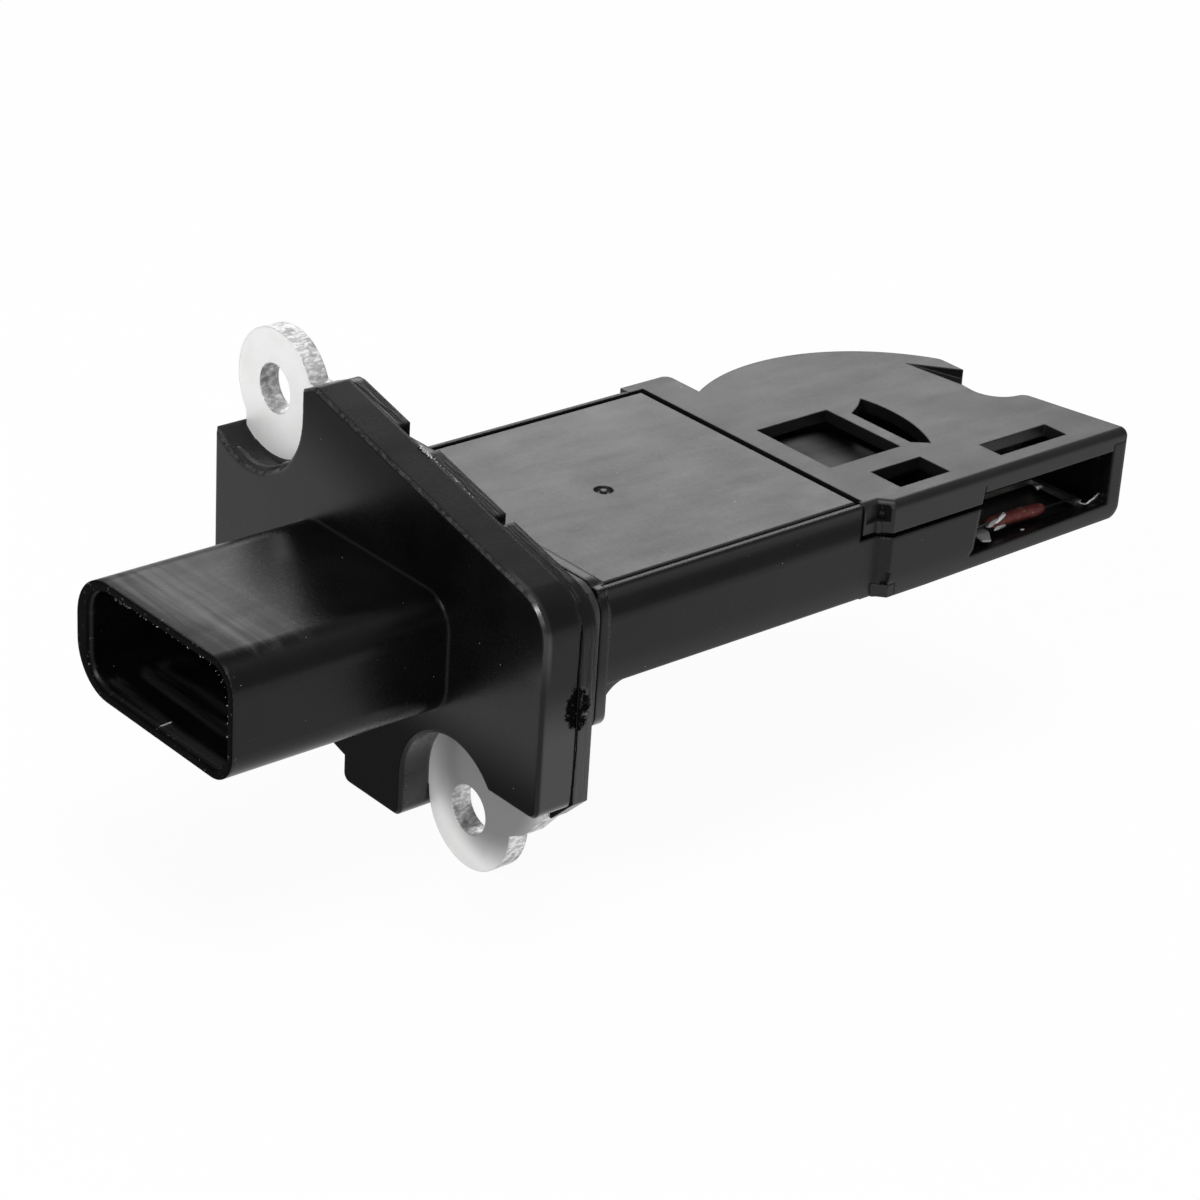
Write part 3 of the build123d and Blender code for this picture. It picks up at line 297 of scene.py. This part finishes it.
def stamped_steel():
    """Zinc plated sheet: pale rolled faces, speckled cut edges and painted shade on the low lug's face.
    """
    f = Finish("zinc_plated_steel")
    x, y, z = f.axes()
    front = f.normals()[0] * -1
    cut = abs(front).ramp(0.8, 0.5)
    rolled = f.noise(1.6, detail=6, stretch=(1, 1, 0.12))
    stains = f.noise(3.2, detail=4)
    torn = f.noise(0.3, detail=6, roughness=0.7, stretch=(0.4, 1, 1))
    blotch = f.noise(1.3, detail=4)
    off_y, off_z = y - LOW_LUG_Y, z - LOW_LUG_Z
    from_lug = off_y * off_y + off_z * off_z
    # Painted shade: the low lug's face darkens towards this centre, with a stain-shaped edge.
    painted_shade_low_lug = (from_lug + (stains - 0.5) * 12).ramp(84.0, 22.0) * z.ramp(-12.0, -14.0)
    face = f.blend(stains.ramp(0.35, 0.8), grey(0.92), grey(0.86, 0.01))
    face_with_painted_shade = f.blend(painted_shade_low_lug * front.ramp(0.5, 0.9), face, grey(0.2))
    edge = f.blend(torn.ramp(0.44, 0.6), grey(0.55), grey(0.92))
    stained_edge = f.blend(blotch.ramp(0.5, 0.62) * 0.6, edge, grey(0.22))
    colour = f.blend(cut, face_with_painted_shade, stained_edge)
    roughness = rolled * 0.12 + stains * 0.10 + cut * 0.1 + 0.3
    normal = f.bump(rolled * 0.2 + torn * cut * 0.6, 0.04, f.soft_edges(0.25))
    return f.surface(Base_Color=colour, Metallic=0.2 + cut * 0.6, Roughness=roughness, Normal=normal)


def plain_metal(name, colour, rough, grain_size=0.5):
    """Drawn or plated metal with fine lines along X and dull patches."""
    f = Finish(name)
    lines = f.noise(grain_size, detail=4, stretch=(0.08, 1, 1))
    patches = f.noise(2.0, detail=3)
    tint = f.blend(patches.ramp(0.3, 0.7), colour, tuple(c * 0.78 for c in colour[:3]) + (1.0,))
    normal = f.bump(lines, 0.006, f.soft_edges(0.06))
    roughness = lines * 0.14 + patches * 0.12 + rough - 0.1
    return f.surface(Base_Color=tint, Metallic=1.0, Roughness=roughness, Normal=normal)


def rubber():
    """Black rubber with a dusty bloom."""
    f = Finish("seal_rubber")
    bloom = f.noise(1.4, detail=5)
    pores = f.noise(0.2, detail=3)
    colour = f.blend(bloom.ramp(0.4, 0.75), grey(0.012), grey(0.035))
    normal = f.bump(pores, 0.01, f.soft_edges(0.2))
    return f.surface(Base_Color=colour, Roughness=bloom * 0.2 + 0.38, Normal=normal)


def ceramic(name, base, mark, line_size):
    """Fired ceramic with faint printed tracks and pits."""
    f = Finish(name)
    tracks = f.node("ShaderNodeTexBrick", inputs={"Vector": f.place, "Scale": PER_METRE / line_size,
                                                  "Color1": base, "Color2": base, "Mortar": mark,
                                                  "Mortar Size": 0.06, "Mortar Smooth": 0.2})
    pits = f.noise(0.3, detail=4)
    colour = f.blend(pits.ramp(0.55, 0.8) * 0.25, tracks, mark)
    return f.surface(Base_Color=colour, Roughness=pits * 0.2 + 0.3, Normal=f.bump(pits, 0.01))


def glazed(name, dark, light, size):
    """Glass coating with mottled colour."""
    f = Finish(name)
    mottle = f.noise(size, detail=5, roughness=0.65)
    colour = f.blend(mottle.ramp(0.42, 0.62), dark, light)
    return f.surface(Base_Color=colour, Roughness=mottle * 0.12 + 0.14, Coat_Weight=0.6,
                     Normal=f.bump(mottle, 0.04))


# Ends of the bead's glass and of its wire, in millimetres
BEAD_START = (49.7, -14.7, -2.05)
BEAD_STOP = (57.8, -14.6, -2.45)
WIRE_START = (47.2, -14.75, -2.2)
WIRE_STOP = (62.3, -14.6, -2.5)
WIRE_R = 0.13
BEAD_STEPS = 24


def red_bead():
    """Dark red glass with rubbed grey patches, on a bare wire."""
    f = Finish("bead_glass")
    x = f.axes()[0]
    mottle = f.noise(1.1, detail=5, roughness=0.65)
    pits = f.noise(0.25, detail=3)
    glass = f.blend(mottle.ramp(0.35, 0.6), (0.09, 0.018, 0.016, 1), (0.15, 0.035, 0.03, 1))
    rubbed = f.noise(1.1, detail=3).ramp(0.57, 0.61) * x.ramp(53.4, 54.4)
    speckled = f.blend(pits.ramp(0.62, 0.68) * 0.8, glass, grey(0.01))
    worn = f.blend(rubbed, speckled, grey(0.22))
    start_x, stop_x = BEAD_START[0], BEAD_STOP[0]
    wire = x.ramp(start_x + 0.1, start_x - 0.1).most(x.ramp(stop_x - 0.1, stop_x + 0.1))
    colour = f.blend(wire, worn, grey(0.06, 0.02))
    return f.surface(Base_Color=colour, Metallic=wire, Roughness=mottle * 0.15 + 0.4,
                     Specular_IOR_Level=0.25, Normal=f.bump(mottle, 0.04))


def silicone():
    f = Finish("lid_sealant")
    skin = f.noise(0.8, detail=4)
    colour = f.blend(skin.ramp(0.3, 0.7), grey(0.16), grey(0.24))
    return f.surface(Base_Color=colour, Roughness=skin * 0.2 + 0.35, Normal=f.bump(skin, 0.05))


def dress(node, material):
    """Give a CAD node its finish."""
    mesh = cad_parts[node].data
    mesh.materials.clear()
    mesh.materials.append(material)


def finish_nodes():
    dress("housing", housing_black())
    dress("circuit_lid", moulded_black("lid_black", 0.008, 0.40, 0.58))
    cover = moulded_black("cover_black", 0.006, 0.38, 0.34)
    for node in ("bypass_cap", "lower_cover"):
        dress(node, cover)
    dress("mounting_plate", stamped_steel())
    dress("seal_ring", rubber())
    tinned = plain_metal("tinned_brass", grey(0.7, 0.03), 0.34)
    nickel = plain_metal("nickel_lead", grey(0.66, 0.02), 0.3)
    ribbon = plain_metal("bond_ribbon", grey(0.85), 0.22, 0.2)
    aluminium = plain_metal("base_aluminium", grey(0.62, -0.01), 0.42)
    board = ceramic("board_ceramic", (0.78, 0.76, 0.68, 1), (0.42, 0.36, 0.22, 1), 1.9)
    chip = moulded_black("chip_resin", 0.03, 0.5)
    capacitor = glazed("capacitor_ceramic", (0.42, 0.3, 0.18, 1), (0.6, 0.47, 0.32, 1), 0.6)
    element = glazed("element_glass", (0.3, 0.27, 0.22, 1), (0.55, 0.52, 0.46, 1), 0.5)
    sealant = silicone()
    starts = {"terminal_bond": ribbon, "sensor_bond": ribbon, "terminal": tinned, "hot_lead": nickel,
              "cold_lead": nickel, "bead_lead": nickel, "base_plate": aluminium, "circuit_board": board,
              "control_chip": chip, "output_chip": chip, "capacitor": capacitor, "hot_element": element,
              "cold_element": element, "air_temperature_bead": element, "lid_sealant": sealant}
    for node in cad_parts:
        for start, material in starts.items():
            if node.startswith(start):
                dress(node, material)
                break


# Small pieces

def flake_finish(name, dark, light, rough):
    """Torn plastic or dull metal, pale on its broken corners."""
    f = Finish(name)
    torn = f.noise(0.2, detail=5, roughness=0.7)
    colour = f.blend(torn.ramp(0.4, 0.6), dark, light)
    return f.surface(Base_Color=colour, Roughness=torn * 0.3 + rough, Normal=f.bump(torn, 0.03))


def add_piece(name, mesh, material):
    """Link a finished mesh as a piece that rides with the sensor."""
    mesh.materials.clear()
    mesh.materials.append(material)
    piece = bpy.data.objects.new(name, mesh)
    bpy.context.scene.collection.objects.link(piece)
    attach(piece, "root")
    return piece


FLAKE_INPUTS = (("Path", "NodeSocketGeometry"), ("Count", "NodeSocketInt"),
                ("Size", "NodeSocketFloat"), ("Spread", "NodeSocketVector"),
                ("Seed", "NodeSocketInt"), ("Finish", "NodeSocketMaterial"))
FLAKE_DENTS = (-0.55, 0.35)
FLAKE_SCALES = ((0.3, 0.3, 0.3), (1.7, 1.2, 0.9))
FLAKE_TURN = (6.28, 6.28, 6.28)


def flake_tree():
    """Geometry Nodes tree that strews torn flakes along a path."""
    net = Net(bpy.data.node_groups.new("torn_flakes", "GeometryNodeTree"))
    for label, kind in FLAKE_INPUTS:
        net.tree.interface.new_socket(label, in_out="INPUT", socket_type=kind)
    net.tree.interface.new_socket("Flakes", in_out="OUTPUT", socket_type="NodeSocketGeometry")
    path, count, size, spread, seed, finish = (
        net.node("NodeGroupInput", out=label) for label, _ in FLAKE_INPUTS)
    curve = net.node("GeometryNodeMeshToCurve", inputs={"Mesh": path})
    points = net.node("GeometryNodeCurveToPoints", {"mode": "COUNT"}, {"Curve": curve, "Count": count})
    least = net.node("ShaderNodeVectorMath", {"operation": "SCALE"}, {0: spread, "Scale": -1.0})
    shift = net.node("FunctionNodeRandomValue", {"data_type": "FLOAT_VECTOR"},
                     {0: least, 1: spread, "Seed": seed})
    strewn = net.node("GeometryNodeSetPosition", inputs={"Geometry": points, "Offset": shift})
    flake = net.node("GeometryNodeMeshIcoSphere", inputs={"Radius": size, "Subdivisions": 1})
    dents = net.node("FunctionNodeRandomValue", {"data_type": "FLOAT"},
                     {2: FLAKE_DENTS[0], 3: FLAKE_DENTS[1]}, out=1) * size
    outward = net.node("ShaderNodeVectorMath", {"operation": "SCALE"},
                       {0: net.node("GeometryNodeInputNormal"), "Scale": dents})
    torn = net.node("GeometryNodeSetPosition", inputs={"Geometry": flake, "Offset": outward})
    turn = net.node("FunctionNodeRandomValue", {"data_type": "FLOAT_VECTOR"},
                    {1: FLAKE_TURN, "Seed": seed + 1})
    scale = net.node("FunctionNodeRandomValue", {"data_type": "FLOAT_VECTOR"},
                     {0: FLAKE_SCALES[0], 1: FLAKE_SCALES[1], "Seed": seed + 2})
    placed = net.node("GeometryNodeInstanceOnPoints", inputs={
        "Points": strewn, "Instance": torn, "Rotation": turn, "Scale": scale})
    real = net.node("GeometryNodeRealizeInstances", inputs={"Geometry": placed})
    dressed = net.node("GeometryNodeSetMaterial", inputs={"Geometry": real, "Material": finish})
    output = net.tree.nodes.new("NodeGroupOutput")
    net.tree.links.new(dressed.socket, output.inputs["Flakes"])
    return net.tree


def strew_flakes(name, tree, path, count, size, spread, seed, material):
    """One piece of flakes along a path of points in millimetres."""
    line = bpy.data.meshes.new(name + "_path")
    edges = [(n, n + 1) for n in range(len(path) - 1)]
    line.from_pydata([Vector(point) * MM for point in path], edges, [])
    carrier = bpy.data.objects.new(name + "_path", line)
    bpy.context.scene.collection.objects.link(carrier)
    modifier = carrier.modifiers.new("flakes", "NODES")
    modifier.node_group = tree
    values = {"Count": count, "Size": size * MM, "Spread": [v * MM for v in spread],
              "Seed": seed, "Finish": material}
    for item in tree.interface.items_tree:
        if item.name in values:
            modifier[item.identifier] = values[item.name]
    done = carrier.evaluated_get(bpy.context.evaluated_depsgraph_get())
    mesh = bpy.data.meshes.new_from_object(done)
    bpy.data.objects.remove(carrier)
    return add_piece(name, mesh, material)


def drop_mesh(name, centre, radii, lean, seed):
    """Uneven drop or fibre: a divided cube pulled round, leaned and dented."""
    dents = random.Random(seed)
    shape = bmesh.new()
    bmesh.ops.create_cube(shape, size=2.0)
    bmesh.ops.subdivide_edges(shape, edges=shape.edges[:], cuts=5, use_grid_fill=True)
    waves = [Vector(dents.uniform(-2.4, 2.4) for _ in range(3)) for _ in range(5)]
    for vertex in shape.verts:
        out = vertex.co.normalized()
        swell = 1 + sum(0.05 * math.sin(out.dot(wave) * 2 + n) for n, wave in enumerate(waves))
        point = Vector(out[axis] * radii[axis] * swell for axis in range(3))
        point.z += point.x * lean
        vertex.co = (point + Vector(centre)) * MM
    bmesh.ops.recalc_face_normals(shape, faces=shape.faces[:])
    mesh = bpy.data.meshes.new(name)
    shape.to_mesh(mesh)
    shape.free()
    mesh.shade_smooth()
    return mesh


def strip_mesh(name, rungs, thickness):
    """Bent metal strip through rungs, each a pair of points across it in millimetres."""
    shape = bmesh.new()
    rings = []
    for n, (left, right) in enumerate(rungs):
        left, right = Vector(left), Vector(right)
        before, after = rungs[max(n - 1, 0)], rungs[min(n + 1, len(rungs) - 1)]
        run = Vector(after[0]) + Vector(after[1]) - Vector(before[0]) - Vector(before[1])
        face = run.cross(right - left).normalized() * thickness / 2
        ring = (left + face, right + face, right - face, left - face)
        rings.append([shape.verts.new(point * MM) for point in ring])
    for first, second in zip(rings, rings[1:]):
        for n in range(4):
            shape.faces.new((first[n], first[(n + 1) % 4], second[(n + 1) % 4], second[n]))
    shape.faces.new(rings[0])
    shape.faces.new(rings[-1])
    bmesh.ops.recalc_face_normals(shape, faces=shape.faces[:])
    bmesh.ops.bevel(shape, geom=shape.edges[:], offset=thickness * 0.3 * MM, segments=2, affect="EDGES")
    mesh = bpy.data.meshes.new(name)
    shape.to_mesh(mesh)
    shape.free()
    return mesh


# Where torn plastic sits, in millimetres
STEP_X = -1.74
SCAR_Y = -17.25
RIM_Z = -0.2


def torn_edges():
    """Torn flash on the flange, nicks, chips and a fibre at the mouth, and crumbs in the gate scar."""
    tree = flake_tree()
    pale = flake_finish("pale_torn_plastic", grey(0.12), grey(0.8), 0.4)
    dark = flake_finish("dark_torn_plastic", grey(0.004), grey(0.06), 0.35)
    thick = [(STEP_X, 5.5, 10.72), (STEP_X, 3.6, 10.22)]
    strew_flakes("top_burrs", tree, thick, 34, 0.13, (0.16, 0.15, 0.1), 3, pale)
    fine = [(STEP_X, 3.4, 10.16), (STEP_X, -2.2, 8.76)]
    strew_flakes("step_burrs", tree, fine, 44, 0.06, (0.06, 0.1, 0.05), 5, pale)
    mouth_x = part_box("housing")[0].x / MM + 0.2
    rim = [(mouth_x, 12.5, RIM_Z), (mouth_x, -0.8, RIM_Z)]
    strew_flakes("mouth_nicks", tree, rim, 22, 0.05, (0.05, 0.9, 0.06), 8, pale)
    corner = [(mouth_x, -0.8, RIM_Z), (mouth_x, -2.6, -0.9), (mouth_x, -3.5, -2.5),
              (mouth_x, -3.55, -7.5)]
    strew_flakes("corner_nicks", tree, corner, 20, 0.05, (0.05, 0.1, 0.45), 9, pale)
    fibre = drop_mesh("mouth_fibre", (-27.15, 6.6, -9.57), (0.65, 0.1, 0.07), 0.05, 17)
    add_piece("mouth_fibre", fibre, pale)
    far_rim = [(mouth_x, 13.3, -0.25), (mouth_x, 11.2, -0.25)]
    strew_flakes("mouth_chips", tree, far_rim, 14, 0.11, (0.04, 0.2, 0.08), 11, dark)
    scar = [(-2.8, SCAR_Y, -3.2), (-2.2, SCAR_Y, -5.4), (-0.9, SCAR_Y, -6.4)]
    strew_flakes("scar_crumbs", tree, scar, 40, 0.07, (0.35, 0.02, 0.5), 14, dark)


def swept_mesh(name, line, radii, sides=20):
    """Round body along a line of points, with a radius at each, in millimetres."""
    shape = bmesh.new()
    rings = []
    for n, (point, radius) in enumerate(zip(line, radii)):
        run = Vector(line[min(n + 1, len(line) - 1)]) - Vector(line[max(n - 1, 0)])
        turn = run.to_track_quat("Z", "Y")
        ring = [turn @ Vector((math.cos(a) * radius, math.sin(a) * radius, 0))
                for a in (math.tau * k / sides for k in range(sides))]
        rings.append([shape.verts.new((Vector(point) + spoke) * MM) for spoke in ring])
    for first, second in zip(rings, rings[1:]):
        for n in range(sides):
            shape.faces.new((first[n], first[(n + 1) % sides], second[(n + 1) % sides], second[n]))
    shape.faces.new(rings[0])
    shape.faces.new(rings[-1])
    bmesh.ops.recalc_face_normals(shape, faces=shape.faces[:])
    mesh = bpy.data.meshes.new(name)
    shape.to_mesh(mesh)
    shape.free()
    mesh.shade_smooth()
    return mesh


def temperature_bead():
    """Slender uneven bead on its wire, between the two leads."""
    dents = random.Random(21)
    start, stop = Vector(BEAD_START), Vector(BEAD_STOP)
    line, radii = [WIRE_START], [WIRE_R]
    for n in range(BEAD_STEPS + 1):
        share = n / BEAD_STEPS
        ends = min(1.0, math.sqrt(max(0.0, 1 - abs(2 * share - 1) ** 7)))
        line.append(tuple(start.lerp(stop, share)))
        radii.append(WIRE_R + ends * dents.uniform(0.46, 0.52))
    line.append(WIRE_STOP)
    radii.append(WIRE_R)
    piece = add_piece("temperature_bead", swept_mesh("temperature_bead", line, radii), red_bead())
    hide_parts("air_temperature_bead")


# Centre and radius of the notch round the high lug, in millimetres
NOTCH_Y, NOTCH_Z, NOTCH_R = 26.05, 9.9, 7.95
ROLL_STEPS = 28


def notch_rolls():
    """Two rounded rolls on the ledge under the high lug."""
    skin = moulded_black("notch_black", 0.004, 0.26, 0.45)
    for name, x, radius, sink, start, stop in (("front_roll", -4.6, 0.95, 0.72, -63, -138),
                                               ("back_roll", -2.0, 0.9, 0.5, -62, -130)):
        line = []
        for n in range(ROLL_STEPS + 1):
            angle = math.radians(start + (stop - start) * n / ROLL_STEPS)
            far = NOTCH_R + sink
            line.append((x, NOTCH_Y + math.cos(angle) * far, NOTCH_Z + math.sin(angle) * far))
        radii = [radius * min(1.0, 0.55 + 0.15 * min(n, ROLL_STEPS - n)) for n in range(ROLL_STEPS + 1)]
        add_piece(name, swept_mesh(name, line, radii), skin)


def inlet_metal():
    """Solder drops, clips and pins round the bead in the inlet."""
    solder = plain_metal("solder", grey(0.8), 0.3, 0.6)
    dull = plain_metal("dull_tin", grey(0.42), 0.45, 0.4)
    drops = (("solder_top", (51.2, -15.1, -1.65), (0.75, 0.3, 0.3), 0.45, solder),
             ("solder_left", (50.2, -15.1, -1.9), (0.7, 0.3, 0.3), 0.3, dull),
             ("solder_low", (51.3, -15.1, -2.6), (0.8, 0.3, 0.27), 0.2, dull),
             ("weld_dot", (61.45, -10.35, -2.9), (0.34, 0.34, 0.3), 0.0, dull),
             ("sill_pin", (53.7, -15.85, -3.35), (0.26, 0.26, 0.26), 0.0, dull))
    for seed, (name, centre, radii, lean, material) in enumerate(drops):
        add_piece(name, drop_mesh(name, centre, radii, lean, seed + 2), material)
    near = [((47.5, -13.0, -2.4), (49.7, -12.9, -2.4)), ((47.6, -14.2, -2.4), (49.7, -14.2, -2.4)),
            ((47.7, -15.4, -2.5), (49.5, -15.5, -2.55)), ((47.8, -16.3, -2.75), (48.7, -16.6, -2.85))]
    add_piece("near_clip", strip_mesh("near_clip", near, 0.22), dull)
    far = [((62.0, -15.2, -3.2), (61.9, -15.2, -2.6)), ((62.9, -15.5, -3.5), (62.5, -15.6, -2.85)),
           ((64.0, -15.6, -3.1), (63.5, -15.7, -2.4)), ((65.0, -15.5, -2.65), (64.5, -15.6, -1.95))]
    add_piece("far_clip", strip_mesh("far_clip", far, 0.24), solder)


# Studio

CAMERA_PLACE = (-0.177487, -0.216867, 0.136920)
AZIMUTH = -41.66242
ELEVATION = 26.32375
ROLL = 3.71002
FOCAL_PIXELS = 3567.319
FRAME_PIXELS = 1200.0
SENSOR_WIDTH = 36.0
LAMP_DISTANCE = 0.9
LAMPS = (("back_softbox", (0.566, 0.698, 0.438), (0.54, 0.32), 1.7),
         ("top_softbox", (0.0, -0.2, 1.0), (0.5, 0.5), 4.2),
         ("left_softbox", (-0.85, -0.2, 0.5), (0.2, 0.2), 2.8),
         ("front_softbox", (-0.62, -0.72, 0.4), (0.6, 0.3), 1.2))
ROOM_LIGHT = 0.28
MIRRORED_ROOM = 0.4
SEEN_FLOOR = 0.95
MIRRORED_FLOOR = 0.8
FLOOR_REACH = 3.0
FLOOR_GAP = 0.001
SHOWN_RAYS = ("Is Camera Ray", "Is Glossy Ray", "Is Transmission Ray")


def studio_camera():
    a, e, roll = (math.radians(v) for v in (AZIMUTH, ELEVATION, ROLL))
    back = Vector((math.sin(a) * math.cos(e), -math.cos(a) * math.cos(e), math.sin(e)))
    right = Vector((0, 0, 1)).cross(back).normalized()
    up = back.cross(right)
    tilted_right = right * math.cos(roll) + up * math.sin(roll)
    tilted_up = up * math.cos(roll) - right * math.sin(roll)
    data = bpy.data.cameras.new("photo_camera")
    data.sensor_width = SENSOR_WIDTH
    data.lens = SENSOR_WIDTH * FOCAL_PIXELS / FRAME_PIXELS
    data.clip_start, data.clip_end = 0.01, 10.0
    camera = bpy.data.objects.new("photo_camera", data)
    bpy.context.scene.collection.objects.link(camera)
    turn = Matrix((tilted_right, tilted_up, back)).transposed()
    camera.matrix_world = Matrix.Translation(CAMERA_PLACE) @ turn.to_4x4()
    bpy.context.scene.camera = camera


def area_lamp(name, towards, size, power):
    """Rectangular lamp in a direction from the middle of the object, aimed back at it."""
    low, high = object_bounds()
    middle = (low + high) / 2
    direction = Vector(towards).normalized()
    data = bpy.data.lights.new(name, "AREA")
    data.shape = "RECTANGLE"
    data.size, data.size_y = size
    data.energy = power
    lamp = bpy.data.objects.new(name, data)
    bpy.context.scene.collection.objects.link(lamp)
    lamp.location = middle + direction * LAMP_DISTANCE
    lamp.rotation_mode = "QUATERNION"
    lamp.rotation_quaternion = direction.to_track_quat("Z", "Y")


def studio_world():
    """Plain room light that is white to the camera."""
    world = bpy.data.worlds.new("studio")
    world.use_nodes = True
    bpy.context.scene.world = world
    net = Net(world.node_tree)
    camera, glossy, through = (net.node("ShaderNodeLightPath", out=ray) for ray in SHOWN_RAYS)
    strength = camera.most(glossy.most(through) * MIRRORED_ROOM).most(ROOM_LIGHT)
    room = net.node("ShaderNodeBackground", inputs={"Color": WHITE, "Strength": strength})
    output = net.tree.nodes.new("ShaderNodeOutputWorld")
    net.tree.links.new(room.socket, output.inputs["Surface"])


def studio_floor():
    """Pale floor that stays nearly white to the camera and keeps a faint shadow."""
    low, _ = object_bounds()
    mesh = bpy.data.meshes.new("floor")
    z = low.z - FLOOR_GAP
    signs = ((-1, -1), (1, -1), (1, 1), (-1, 1))
    corners = [(side * FLOOR_REACH, end * FLOOR_REACH, z) for side, end in signs]
    mesh.from_pydata(corners, [], [(0, 1, 2, 3)])
    floor = bpy.data.objects.new("floor", mesh)
    bpy.context.scene.collection.objects.link(floor)
    f = Finish("floor_paper")
    tone = f.noise(40.0, detail=2)
    colour = f.blend(tone.ramp(0.2, 0.8), grey(0.86), grey(0.9))
    paper = f.node("ShaderNodeBsdfDiffuse", inputs={"Color": colour})
    glow = f.node("ShaderNodeEmission", inputs={"Color": WHITE, "Strength": 1.0})
    camera, glossy, through = (f.node("ShaderNodeLightPath", out=ray) for ray in SHOWN_RAYS)
    shown = (camera * SEEN_FLOOR).most(glossy.most(through) * MIRRORED_FLOOR)
    mesh.materials.append(f.finish(f.node("ShaderNodeMixShader", inputs={0: shown, 1: paper, 2: glow})))
    floor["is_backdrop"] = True


def studio():
    studio_camera()
    studio_world()
    studio_floor()
    for lamp in LAMPS:
        area_lamp(*lamp)
    bpy.context.scene.view_settings.view_transform = "Standard"


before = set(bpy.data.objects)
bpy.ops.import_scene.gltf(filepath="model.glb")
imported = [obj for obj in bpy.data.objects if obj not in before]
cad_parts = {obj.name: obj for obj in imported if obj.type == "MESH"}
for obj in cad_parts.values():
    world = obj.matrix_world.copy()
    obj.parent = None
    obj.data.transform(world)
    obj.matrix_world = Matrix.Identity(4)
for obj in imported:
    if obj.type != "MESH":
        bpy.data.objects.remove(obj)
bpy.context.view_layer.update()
finish_nodes()
temperature_bead()
inlet_metal()
notch_rolls()
torn_edges()
studio()
